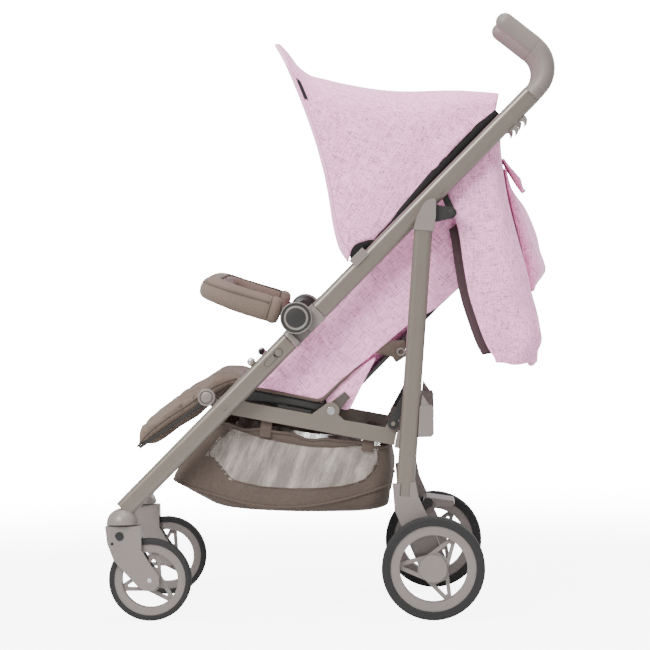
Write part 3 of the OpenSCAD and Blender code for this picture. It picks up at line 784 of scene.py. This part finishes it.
def back_depth(x, q):
    seams = 6.0 * (groove(abs(x) - 92, 5) + (groove(q - 148, 5) + groove(q - 258, 5)) * (abs(x) < 92))
    quilt = -2.2 * math.cos(x * 0.034) * math.sin(q * 0.0286)
    return seams + quilt + 1.4 * wob(x, q, 0, 0.03, 2.0)


def seat_depth(x, q):
    seams = 5.0 * groove(abs(x) - 95, 5) + 4.0 * groove(q - 110, 5) * (abs(x) < 95)
    return seams + 1.2 * wob(x, q, 0, 0.03, 5.0)


pull(back, BACK_PIVOT, TUBE_SLOPE, back_depth)
seat = block("seat_cushion", rail_at, (54, 164), (22.5, 48), 139, PINK_SEAT, 5)
puff(seat, 4.0, 8)
pull(seat, RAIL_PIN, RAIL_SLOPE, seat_depth)
soft(back, "backrest", ["back_pad"], BACK_PRESS)
soft(seat, "seat_frame", ["seat_pad"], SEAT_PRESS)


def rounded_loop(corners, radius=12, per=5, step=14.0):
    """A closed outline through the corners (Y, Z) with rounded corners and points every step or so."""
    out = []
    n = len(corners)
    for i in range(n):
        p0, p1, p2 = (np.array(corners[(i + k) % n], float) for k in (-1, 0, 1))
        a, b = p0 - p1, p2 - p1
        r = min(radius, np.linalg.norm(a) * 0.45, np.linalg.norm(b) * 0.45)
        a, b = p1 + a / np.linalg.norm(a) * r, p1 + b / np.linalg.norm(b) * r
        for t in np.linspace(0, 1, per):
            out.append((1 - t) ** 2 * a + 2 * t * (1 - t) * p1 + t * t * b)
    dense = []
    for p, q in zip(out, out[1:] + out[:1]):
        k = max(1, int(np.linalg.norm(q - p) / step))
        dense += [p + (q - p) * i / k for i in range(k)]
    return dense


def panel(name, corners, x0, x1, mat, swell, seed):
    """A thin padded panel in the side view: rounded edge, faces that bow outwards, and soft creases."""
    loop = rounded_loop(corners)
    centre = np.mean(loop, axis=0)
    rings = (1.0, 0.985, 0.95, 0.88, 0.78, 0.64, 0.5, 0.36, 0.22, 0.1)
    mid = (x0 + x1) / 2
    verts = []
    for face in (0, 1):
        for k, f in enumerate(rings):
            for p in loop:
                y, z = centre + (p - centre) * f
                bow = (1 - f ** 2.5) * swell
                crease = wob(0, y, z, 0.016, seed) * 3.0 * (1 - f ** 3)
                crease += 1.2 * math.sin(0.09 * (y * 0.6 + z) + seed) * (1 - f ** 2) * (f > 0.2)
                x = (x1 + bow + crease * 0.8) if face else (x0 - 0.3 * bow + 0.2 * crease)
                if k == 0:
                    x = mid + (0.6 if face else -0.6)
                elif k == 1:
                    x = mid + (x - mid) * 0.8
                verts.append((x, y, z))
    m, r = len(loop), len(rings)
    faces = []
    for face in (0, 1):
        base = face * m * r
        for q in grid_faces(r, m, False, True):
            faces.append(tuple(base + v for v in q))
        faces.append(tuple(base + (r - 1) * m + i for i in range(m))[::1 if face else -1])
    for i in range(m):
        faces.append((i, (i + 1) % m, m * r + (i + 1) % m, m * r + i))
    return refined(fix_normals(mesh(name, verts, faces, mat))), loop


# outlines in the side view (Y, Z)
WING = [(-18, 428), (14, 412), (42, 435), (76, 461), (101, 481), (134, 509), (193, 542), (243, 588),
        (262, 632), (244, 694), (200, 738), tube_at(240, -28), tube_at(150, -26), tube_at(60, -26),
        tube_at(-20, -26), (-60, 470)]
GUSSET = [(-139, 404), (-80, 392), (-22, 380), (13, 409), (20, 424), (-20, 450), (-50, 486),
          tube_at(-40, -26), tube_at(-110, -28)]
TUCK = [(-12, 386), (40, 430), (82, 458), (64, 425), (33, 365), (24, 361), (-10, 375)]
HEM = [(-139, 403.5), (-110, 398), (-80, 391.5), (-50, 385), (-26, 379.5), (-17, 380), (-10, 386), (2, 398),
       (14, 409.5), (28, 421), (42, 433.5), (56, 445)]
STRAP = [(78, 462), (103, 483), (131, 484), (132, 455), (114, 444), (108, 454)]
SIDE_COVER = [(-152, 381), (-141, 401), (-24, 377), (-8, 372), (-12, 357)]
STRAP_EYE = (123.4, 463)


def plate(name, corners, x0, x1, mat):
    """A flat plate in the side view with a softly rounded rim."""
    loop = rounded_loop(corners, 2.5, 4, 30.0)
    mid = np.mean(loop, axis=0)
    rows = []
    for x, f in ((x0, 0.0), (x0, 0.97), (x0 + 0.4, 1.0), (x1 - 0.4, 1.0), (x1, 0.97), (x1, 0.0)):
        rows.append([(x, *(mid + (p - mid) * max(f, 0.01))) for p in loop])
    return fix_normals(surface(name, rows, mat, close_v=True))


def hem_section(t):
    """Round piping that thins out over its last third."""
    return ring(2.9 if t < 0.68 else 2.9 - 7.2 * (t - 0.68), 8)


for side, _ in SIDES:
    wing, loop = panel("side_panel", WING, 151.3, 153.8, PINK_SEAT, 1.5, 4.0)
    gus = panel("seat_gusset", GUSSET, 150.4, 152.6, PINK_SEAT, 1.3, 4.0)[0]
    tuck = panel("seat_tuck", TUCK, 147.5, 149.3, PINK_SEAT, 1.2, 9.0)[0]
    reach = np.linspace(0, len(HEM) - 1, 60)
    path = [(153.9, *[np.interp(u, np.arange(len(HEM)), [q[i] for q in HEM]) for i in (0, 1)]) for u in reach]
    edge = sweep("side_hem_piping", path, hem_section, PIPING, up=(1, 0, 0))
    mid = np.mean(loop, axis=0)
    path = [(154.9, *(mid + (p - mid) * 0.965)) for p in loop if p[0] > 60 and p[1] < 700]
    row = stitch("side_panel_stitch", path, SEAM, 2.4, 2.8, 0.3)
    strap = plate("recline_strap", STRAP, 150.2, 152.0, PIPING)
    path = [(153.0, STRAP_EYE[0] + 6 * math.cos(a), STRAP_EYE[1] + 6 * math.sin(a)) for a in turn(24)]
    eye = sweep("recline_ring", path, ring(1.5, 8), MOULD, closed=True, up=(1, 0, 0))
    cover = plate("seat_side_cover", SIDE_COVER, 148.6, 150.0, DARK)
    soft(on_side(wing, side), "backrest", ["side_wings"], SIDE_BACK_PRESS)
    soft(on_side(edge, side), "seat_frame", press=SIDE_SEAT_PRESS)
    soft(on_side(row, side), "backrest", press=SIDE_BACK_PRESS)
    soft(on_side(strap, side), "backrest")
    soft(on_side(eye, side), "backrest")
    soft(on_side(cover, side), "seat_frame")
    soft(on_side(gus, side), "seat_frame", (), SIDE_SEAT_PRESS)
    soft(on_side(tuck, side), "seat_frame", (), SIDE_SEAT_PRESS)


# ---- hub discs, bumper bosses, and the recess and stud on each lower tube
def lathe(name, x0, centre, profile, mats):
    """A turned piece about X: profile is (radius, height, material index) from the rim to the middle."""
    verts, faces, index = [], [], []
    sides, count = 64, len(profile)
    for r, h, _ in profile:
        verts += [(x0 + h, centre[0] + r * math.cos(a), centre[1] + r * math.sin(a)) for a in turn(sides)]
    faces = grid_faces(count, sides, False, True) + [tuple(range(sides)), end_caps(count, sides)[1][::-1]]
    index = [profile[i // sides + 1][2] for i in range((count - 1) * sides)] + [profile[0][2], profile[-1][2]]
    o = fix_normals(mesh(name, verts, faces, mats))
    for p, m in zip(o.data.polygons, index):
        p.material_index = m
    return o


# turned profiles: radius, height and which of the two materials
DISC = [(28.0, -0.4, 0), (28.0, 0.9, 0), (27.2, 1.6, 0), (26.2, 1.6, 0), (25.6, 0.8, 1), (25.0, 0.7, 1),
        (23.4, 1.1, 1), (22.0, 0.9, 1), (21.2, 0.7, 1), (20.8, 1.5, 0), (20.0, 1.9, 0), (18.4, 1.9, 0),
        (17.6, 1.4, 0), (17.2, 0.8, 1), (16.0, 1.1, 1), (10.0, 1.7, 1), (4.0, 1.9, 1), (0.05, 1.95, 1)]
BOSS = [(26.0, -2.4, 1), (26.4, -1.6, 1), (26.4, 1.6, 1), (25.4, 2.2, 0), (22.0, 2.4, 0), (12.0, 2.4, 0),
        (0.05, 2.4, 0)]
DISC_SMALL = [(15.5, -1.5, 0), (15.5, 0.6, 0), (14.6, 1.5, 0), (12.2, 1.6, 0), (11.2, 0.5, 1), (10.2, 0.5, 1),
              (9.4, 1.8, 0), (7.0, 2.6, 0), (3.5, 3.0, 0), (0.05, 3.1, 0)]
STUD = [(5.2, -4.0, 1), (7.0, -3.0, 0), (7.4, -0.6, 0), (6.2, 1.6, 0), (4.0, 2.8, 0), (1.8, 3.3, 0),
        (0.05, 3.4, 0)]
BUTTON = [(4.2, -0.2, 0), (4.2, 0.5, 0), (3.4, 0.9, 1), (0.05, 1.1, 1)]
RECESS = tube_at(-78, -20)
for side, _ in SIDES:
    # the oval groove round the recess is a thin raised ring in dark brown: painted shade of the groove
    recess_shade_line = []
    for a in turn(40):
        u, w = 5.6 * math.cos(a), 5.6 * math.sin(a) + (15 if math.sin(a) > 0 else -15)
        recess_shade_line.append((205.1, RECESS[0] + C * w - S * u, RECESS[1] + S * w + C * u))
    disc = lathe("hub_disc", 219.4, HUB, DISC, [MOULD, DARK])
    boss = lathe("bumper_boss", 170.6, HUB, BOSS, [SHADE, DARK])
    recess = sweep("tube_recess", recess_shade_line, ring(0.55, 6), SHADE, closed=True, up=(1, 0, 0))
    button = lathe("tube_recess_button", 205.0, tube_at(-72, -20), BUTTON, [SHADE, BLACK])
    small = lathe("legrest_disc", 189.5, (-218.9, 390.6), DISC_SMALL, [MOULD, SHADE])
    stud = lathe("tube_stud", 186.0, (-139.5, 451.8), STUD, [STEEL, DARK])
    soft(on_side(disc, side), "lower_frame")
    soft(on_side(boss, side), "bumper_bar")
    for o in (recess, button, small):
        soft(on_side(o, side), "lower_frame")
    soft(on_side(stud, side), "lower_frame")

# ---- harness
def shoulder_section(t):
    """A wide pad in the middle and plain webbing at both ends."""
    return flat_band(40, 8.5, 3.0) if 0.1 < t < 0.72 else flat_band(26, 3.0, 1.2)


for side, sign in SIDES:
    path = []
    for q in np.linspace(96, 332, 34):
        n = 31.5 + 2.2 * math.sin(q * 0.03) + 2.5 * smooth((q - 300) / 30) - 3 * smooth((110 - q) / 30)
        path.append((sign * (46 + 16 * smooth((q - 96) / 240)), *back_at(q, n)))
    pad = sweep("shoulder_strap_" + side, path, shoulder_section, TAUPE, up=TUBE_UP)
    soft(pad, "backrest", ["shoulder_straps"], BACK_PRESS)
    for k, off in enumerate((-16, 16)):
        top = [(x + off, y - 4.4 * S, z + 4.4 * C) for x, y, z in path[5:24]]
        line = stitch(f"shoulder_stitch_{side}_{k}", top, TRIM, 3, 2.2, 0.45)
        soft(line, "backrest", press=BACK_PRESS)
path = [(0, *rail_at(101 + 4 * smooth((n - 60) / 60), n)) for n in np.linspace(50, 104, 14)]
crotch = sweep("crotch_strap_pad", path, lambda t: flat_band(38 - 6 * t, 8.0, 3.0), TAUPE, up=(0, 1, 0.2))
soft(crotch, "seat_frame", ["crotch_strap"], SEAT_PRESS)

# the buckle: a rounded box with a dished face
rows = []
for n in np.linspace(0, 1, 15):
    w = 21.5 + 2.4 * math.sin(math.pi * n) - 3.0 * smooth((n - 0.85) / 0.15) - 2.0 * smooth((0.15 - n) / 0.15)
    d = 7.2 + 1.8 * math.sin(math.pi * n)
    row = []
    for a in turn(28):
        x = w * squared(math.cos(a), 0.45)
        b = d * squared(math.sin(a), 0.55)
        if math.sin(a) > 0.2:
            b -= 2.2 * math.exp(-((n - 0.5) / 0.2) ** 2 - (x / 9.0) ** 2)
        row.append((x, *rail_at(102 - b, 100 + 30 * n)))
    rows.append(row)
verts = [v for r in rows for v in r]
faces = grid_faces(len(rows), len(row), False, True) + end_caps(len(rows), len(row))
buckle = fix_normals(mesh("harness_buckle", verts, faces, DARK))
soft(buckle, "seat_frame", press=SEAT_PRESS)

# ---- leg rest
TOP_LINE = [(-150, 430), (-178, 428), (-204, 422), (-233, 405), (-262, 387), (-290, 369), (-318, 350),
            (-337, 331), (-347, 309)]
LOW_LINE = [(-156, 411), (-176, 403), (-200, 389), (-226, 373), (-244, 357), (-277, 338), (-300, 321),
            (-318, 310), (-336, 303)]
nx, ns = 18, 16
verts = []
for line, droop in ((LOW_LINE, -4), (TOP_LINE, 7)):
    for i in range(ns + 1):
        y, z = along(line, i / ns)
        for t in [2 * j / nx - 1 for j in range(nx + 1)]:
            verts.append(((151 - 3 * math.sin(math.pi * i / ns)) * t, y, z - droop * abs(t) ** 6))
legs = fix_normals(mesh("legrest_cushion", verts, two_layers(ns, nx), TAUPE))
puff(legs, 3.5, 6)


def leg_between(t, share):
    """A point between the two outlines: share is 1 on the top one."""
    return np.array(along(TOP_LINE, t)) * share + np.array(along(LOW_LINE, t)) * (1 - share)


def leg_depth(x, q):
    seam = 3.2 * groove(abs(x) - 118, 3.5) + 2.6 * groove(q + 40, 4) + 2.4 * groove(q + 122, 3.5)
    folds = 2.4 * math.sin(0.11 * x + 1.3 * math.sin(q * 0.03)) * math.exp(-((q + 30) / 40.0) ** 2)
    long_folds = 2.8 * math.sin(0.075 * q + 0.02 * abs(x)) * smooth((abs(x) - 60) / 60)
    return seam + folds + long_folds + 1.6 * wob(x, q, 0, 0.035, 6.0)


pull(legs, LEGREST_PIVOT, LEGREST_SLOPE, leg_depth)
leg_parts = []
for side, sign in SIDES:
    path = [(sign * 153.6, *leg_between(t, 0.62)) for t in np.linspace(0.08, 0.985, 30)]
    leg_parts.append(sweep("legrest_piping_" + side, path, ring(1.9, 8), PIPING, up=(1, 0, 0)))
    for k, t in enumerate((0.42, 0.53)):
        y, z = along(TOP_LINE, t)
        path = [(sign * (146 + u), y + 1 - 0.4 * u, z - 5.2 - u * 0.9) for u in np.linspace(0, 7, 5)]
        tack = flat_band(1.8, 1.2, 0.4)
        leg_parts.append(sweep(f"legrest_tack_{side}_{k}", path, tack, PIPING, up=(sign * 0.6, 0, 1)))
tip = leg_between(1.0, 0.6) + np.array((-3.6, -3.0))
path = [(x, *tip) for x in np.linspace(-144, 144, 40)]
leg_parts.append(sweep("legrest_front_piping", path, ring(1.8, 8), PIPING))
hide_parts("legrest_pad")
for o in (legs, *leg_parts):
    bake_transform(o)

# ---- bumper bar cover
REACH, ARM, CR = 159.0, 170.0, 50.0


def bumper_path(q):
    """Centre line of the bar: q is the way along it in mm from the left hub to the middle of the front."""
    straight = REACH - CR
    if q < straight:
        return ARM, -q, (0, -1)
    q -= straight
    if q < CR * math.pi / 2:
        a = q / CR
        return ARM - CR + CR * math.cos(a), -straight - CR * math.sin(a), (-math.sin(a), -math.cos(a))
    q -= CR * math.pi / 2
    return ARM - CR - q, -REACH, (-1, 0)


def fatness(q):
    """The pad is a little thicker across the front."""
    return 1 + 0.07 * smooth((q - 110) / 60)


def under(q):
    """The underside rises towards the front."""
    return 1 - 0.26 * smooth((q - 85) / 75)


half_len = REACH - CR + CR * math.pi / 2 + ARM - CR
start, sides = 30.0, 40
PAD_OUT, PAD_UP = 20.5, 23.4
rows = []
for q in np.concatenate([np.linspace(start, 46, 8), np.linspace(50, half_len, 52)]):
    x, d, t = bumper_path(q)
    puffy = 0.80 + 0.20 * smooth((q - start) / 10) - 0.10 * math.exp(-((q - 52) / 3.2) ** 2)
    if q < start + 2:
        puffy *= 0.72
    row = []
    for a in turn(sides):
        ca, sa = math.cos(a), math.sin(a)
        deg = math.degrees(math.atan2(sa, ca))
        out = PAD_OUT * squared(ca, 0.86)
        up = PAD_UP * squared(sa, 0.80) * (under(q) if sa < 0 else 1)
        seam = 1.0 - 0.10 * (groove(deg - 72, 5) + groove(deg + 70, 5))
        piped = 1.0 - 0.06 * groove(deg - 158, 5)
        dent = 1 + 0.025 * math.sin(q * 0.055 + 2 * ca) + 0.03 * wob(q / 50, ca * 1.2, sa * 1.2, 1.0)
        f = puffy * fatness(q) * seam * piped * dent
        row.append((x + t[1] * out * f, *bumper_at(d - t[0] * out * f, up * f)))
    rows.append(row)
rows += [[(-x, y, z) for x, y, z in r] for r in rows[-2::-1]]
verts = [v for r in rows for v in r]
faces = grid_faces(len(rows), sides, False, True) + end_caps(len(rows), sides)
cover = refined(fix_normals(mesh("bumper_cover", verts, faces, TAUPE)))


def on_cover(deg, lift):
    """A line along the pad at an angle round its section, lifted off the cloth."""
    pts = []
    ca, sa = math.cos(math.radians(deg)), math.sin(math.radians(deg))
    for q in np.linspace(54.0, half_len, 60):
        x, d, t = bumper_path(q)
        out = PAD_OUT * squared(ca, 0.86) * fatness(q) + lift * ca
        up = PAD_UP * squared(sa, 0.80) * fatness(q) + lift * sa
        if up < 0:
            up *= under(q)
        pts.append((x + t[1] * out, *bumper_at(d - t[0] * out, up)))
    return pts + [(-x, y, z) for x, y, z in pts[-2::-1]]


bumper_bits = []
for k, (deg, lift, r) in enumerate(((72, -0.6, 1.5), (-70, -0.6, 1.5), (158, -0.6, 1.3))):
    bumper_bits.append(sweep(f"bumper_piping_{k}", on_cover(deg, lift), ring(r, 8), PIPING))
bumper_bits.append(stitch("bumper_stitch", on_cover(150, 0.1), PIPING, 3.2, 2.4, 0.35))
for side, sign in SIDES:
    loop = []
    for a in turn(sides):
        out, up = 20.9 * squared(math.cos(a), 0.86), 23.8 * squared(math.sin(a), 0.80)
        loop.append((sign * (ARM + out), *bumper_at(-51, up * 0.93)))
    cuff = sweep("bumper_cuff_" + side, loop, ring(0.8, 6), PIPING, closed=True, up=(0, -0.95, 0.3))
    bumper_bits.append(cuff)
soft(cover, "bumper_bar", ["bumper_pad"], BUMPER_PRESS)
for o in bumper_bits:
    soft(o, "bumper_bar", press=BUMPER_PRESS)

# ---- basket: a sagging lofted shell
LEVELS = [  # front (Y, Z), rear (Y, Z), half width, corner radius, sag
    ((-203, 345), (100, 297), 154, 26, 3),
    ((-211, 334), (101, 289), 155, 28, 4),
    ((-225, 320), (102, 275), 156.5, 30, 7),
    ((-255, 288), (104, 254), 158.5, 34, 15),
    ((-284, 247), (102, 232), 160, 38, 27),
    ((-264, 229), (100, 214), 159, 40, 20),
    ((-230, 208), (97, 197), 155, 42, 10),
    ((-205, 195), (91, 188), 147, 44, 5),
    ((-170, 188), (70, 180), 118, 44, 2),
    ((-130, 183), (35, 176), 76, 36, 0),
    ((-80, 181), (-5, 177), 24, 10, 0),
]
# outline of the net in the side view (Y, Z)
WINDOW = [(-222, 289), (-198, 316), (-176, 334), (-167, 330), (-123, 315), (-82, 306), (-41, 299), (0, 297),
          (41, 299), (78, 297), (80, 271), (68, 251), (53, 237), (15, 228), (-25, 225), (-75, 225),
          (-125, 229), (-179, 242), (-206, 275)]


def inside(poly, y, z):
    """Whether (Y, Z) lies inside a closed outline."""
    hit = False
    for (y0, z0), (y1, z1) in zip(poly, poly[1:] + poly[:1]):
        if (z0 > z) != (z1 > z) and y < (y1 - y0) * (z - z0) / (z1 - z0) + y0:
            hit = not hit
    return hit


def basket_loop(k):
    """One level of the bag, from the rim (0) to the middle of the floor (1)."""
    f = along([l[0] for l in LEVELS], k)
    r = along([l[1] for l in LEVELS], k)
    half, rad, sag = along([l[2:] for l in LEVELS], k)
    rad = min(rad, half * 0.6, (r[0] - f[0]) * 0.4)
    pts = []

    def put(x, y):
        t = (y - f[0]) / (r[0] - f[0])
        z = f[1] + (r[1] - f[1]) * t - sag * 1.6 * math.sin(math.pi * min(max(t, 0), 1))
        top = smooth(1 - k / 0.16)
        z += top * (2.6 * math.sin(y * 0.052 + 0.4) + 1.5 * math.sin(y * 0.11 + 0.06 * x))
        share = abs(x) / max(half, 1)
        billow = wob(x, y, z, 0.013, 11.0) * 6.0 * smooth(k / 0.1) * smooth((1.0 - k) / 0.3)
        billow += 2.4 * math.sin(y * 0.045 + 1.5) * math.sin(math.pi * min(k / 0.6, 1))
        back = billow * 0.5 if share < 0.8 and y > 60 else 0
        pts.append((x * (1 + billow / 170.0 * (share > 0.4)), y + back, z))

    def corner(x, y, quarter):
        for a in np.linspace(quarter, quarter + 1, 7)[:-1] * math.pi / 2:
            put(x + rad * math.cos(a), y + rad * math.sin(a))

    x, y0, y1 = half - rad, f[0] + rad, r[0] - rad
    side, end = np.linspace(0, 1, 64)[:-1], np.linspace(0, 1, 18)[:-1]
    corner(x, y0, -1)
    for t in side:
        put(half, y0 + (y1 - y0) * t)
    corner(x, y1, 0)
    for t in end:
        put(x * (1 - 2 * t), r[0])
    corner(-x, y1, 1)
    for t in side:
        put(-half, y0 + (y1 - y0) * (1 - t))
    corner(-x, y0, 2)
    for t in end:
        put(-x * (1 - 2 * t), f[0])
    return pts


ks = np.concatenate([np.linspace(0, 0.74, 66), np.linspace(0.74, 1.0, 12)[1:]])
loops = [basket_loop(k) for k in ks]
n, m = len(loops), len(loops[0])
skin = np.array([v for r in loops for v in r])
faces = grid_faces(n, m, False, True) + end_caps(n, m)[1:]
basket = mesh("basket_bag", skin, faces, [BAG, NET])
for p in basket.data.polygons:
    c = p.center * 1000
    if ks[min(p.index // m, n - 1)] < 0.75 and abs(c.x) > 120 and inside(WINDOW, c.y, c.z):
        p.material_index = 1
fix_normals(basket)
solid = basket.modifiers.new("thick", "SOLIDIFY")
solid.thickness = 0.0012
bake(basket)


def basket_line(k, lift):
    """One level of the bag, lifted off the cloth."""
    loop = basket_loop(k)
    mid = np.mean(np.array(loop), axis=0)[1]
    return [(x + lift * (1 if x > 0 else -1), y + lift * (0.3 if y > mid else -0.3), z) for x, y, z in loop]


bits = []
for name, k, lift, r in (("basket_rim", 0.0, 0.8, 2.4), ("basket_lower_piping", 0.415, 1.0, 2.2)):
    bits.append(sweep(name, basket_line(k, lift), ring(r, 8), PIPING, closed=True, up=(0, 0, 1)))
for side, sign in SIDES:
    near = skin[skin[:, 0] * sign > 110]
    line = []
    for y, z in rounded_loop(WINDOW, 9, 4, 8.0):
        x = near[np.argmin((near[:, 1] - y) ** 2 + (near[:, 2] - z) ** 2)][0]
        line.append((x + sign * 0.7, y, z))
    bits.append(sweep("basket_window_seam_" + side, line, ring(0.8, 6), PIPING, closed=True, up=(1, 0, 0)))
    line = [p for p in basket_line(0.10, 0.6) if p[0] * sign > 120]
    line.sort(key=lambda p: p[1])
    bits.append(stitch("basket_stitch_" + side, line, PIPING, 3.2, 2.6, 0.4))
    # webbing loops from the rim up to the rail
    for end, y in (("front", -120), ("rear", 60)):
        low = max(p[2] for p in basket_loop(0.02) if abs(p[1] - y) < 14 and p[0] * sign > 100) - 14
        high = RAIL_PIN[1] - 6 + (y - RAIL_PIN[0]) * math.tan(math.radians(RAIL_SLOPE))
        path = [(sign * (156.2 + 0.6 * math.sin(3 * t)), y + 6 * t, low + (high - low) * t)
                for t in np.linspace(0, 1, 10)]
        bits.append(sweep(f"basket_loop_{side}_{end}", path, flat_band(20, 1.3, 0.5), PIPING, up=(1, 0, 0)))
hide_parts("basket")
for o in (basket, *bits):
    soft(o, "seat_frame", press=BASKET_PRESS)

# ---- stage, light, camera
def floor_disc():
    """A pale floor that fades out into the background."""
    rings, sides = 24, 96
    verts = [(0, 0, 0)]
    for i in range(1, rings + 1):
        r = 6000 * (i / rings) ** 1.5
        verts += [(r * math.cos(a), r * math.sin(a), 0) for a in turn(sides)]
    faces = [(0, 1 + j, 1 + (j + 1) % sides) for j in range(sides)]
    for i in range(rings - 1):
        for j in range(sides):
            a, b = 1 + i * sides + j, 1 + i * sides + (j + 1) % sides
            faces.append((a, a + sides, b + sides, b))
    k = Look("pale_floor", (0.86, 0.86, 0.87), 0.42)
    k.bsdf.inputs["Specular IOR Level"].default_value = 0.35
    away = k.add("ShaderNodeVectorMath", {0: k.coord.outputs["Object"]}, operation="LENGTH").outputs["Value"]
    reach = {"Value": away, "From Min": 0.9, "From Max": 2.6, "To Min": 1.0, "To Max": 0.0}
    fade = k.add("ShaderNodeMapRange", reach, interpolation_type="SMOOTHSTEP").outputs[0]
    k.put(k.bsdf.inputs["Alpha"], fade)
    ray = k.add("ShaderNodeLightPath").outputs["Is Camera Ray"]
    k.put(k.bsdf.inputs["Emission Color"], (1, 1, 1, 1))
    k.put(k.bsdf.inputs["Emission Strength"], k.math("MULTIPLY", ray, 6.5))
    k.bump(k.noise(60.0), 0.02, 0.001)
    o = mesh("floor", verts, faces, k.mat)
    o.location.z = -0.0004
    return o


floor_disc()
world = bpy.data.worlds.new("studio")
bpy.context.scene.world = world
world.use_nodes = True
back = world.node_tree.nodes["Background"]
back.inputs["Color"].default_value = (1.0, 1.0, 1.0, 1)
path_node = world.node_tree.nodes.new("ShaderNodeLightPath")
power = world.node_tree.nodes.new("ShaderNodeMapRange")
power.inputs["To Min"].default_value = 0.85
power.inputs["To Max"].default_value = 17.0
world.node_tree.links.new(path_node.outputs["Is Camera Ray"], power.inputs["Value"])
world.node_tree.links.new(power.outputs[0], back.inputs["Strength"])


def light(name, at, to, size, power):
    d = bpy.data.lights.new(name, "AREA")
    d.shape = "RECTANGLE"
    d.size, d.size_y = size
    d.energy = power
    o = bpy.data.objects.new(name, d)
    bpy.context.scene.collection.objects.link(o)
    o.location = at
    o.rotation_euler = (Vector(to) - Vector(at)).to_track_quat("-Z", "Y").to_euler()


light("key", (2.6, -1.6, 2.7), (0, 0, 0.5), (1.6, 1.2), 160)
light("top", (0.4, 0.2, 3.2), (0, 0, 0.4), (2.2, 2.2), 70)
light("rim", (-1.8, 1.8, 1.6), (0, 0, 0.6), (1.2, 1.6), 40)

yaw, pitch, roll = math.radians(1.886), math.radians(2.402), math.radians(-1.089)
F = Vector((-math.cos(yaw) * math.cos(pitch), -math.sin(yaw) * math.cos(pitch), -math.sin(pitch)))
R = F.cross(Vector((0, 0, 1))).normalized()
U = R.cross(F)
right = R * math.cos(roll) + U * math.sin(roll)
up = -R * math.sin(roll) + U * math.cos(roll)
cam = bpy.data.cameras.new("camera")
cam.sensor_width = 36
cam.lens = 36 * 3367.5 / 650
cam.clip_end = 60
eye = bpy.data.objects.new("camera", cam)
bpy.context.scene.collection.objects.link(eye)
eye.matrix_world = Matrix(((right.x, up.x, -F.x, 6.0799), (right.y, up.y, -F.y, 0.1855),
                           (right.z, up.z, -F.z, 0.7616), (0, 0, 0, 1)))
bpy.context.scene.camera = eye
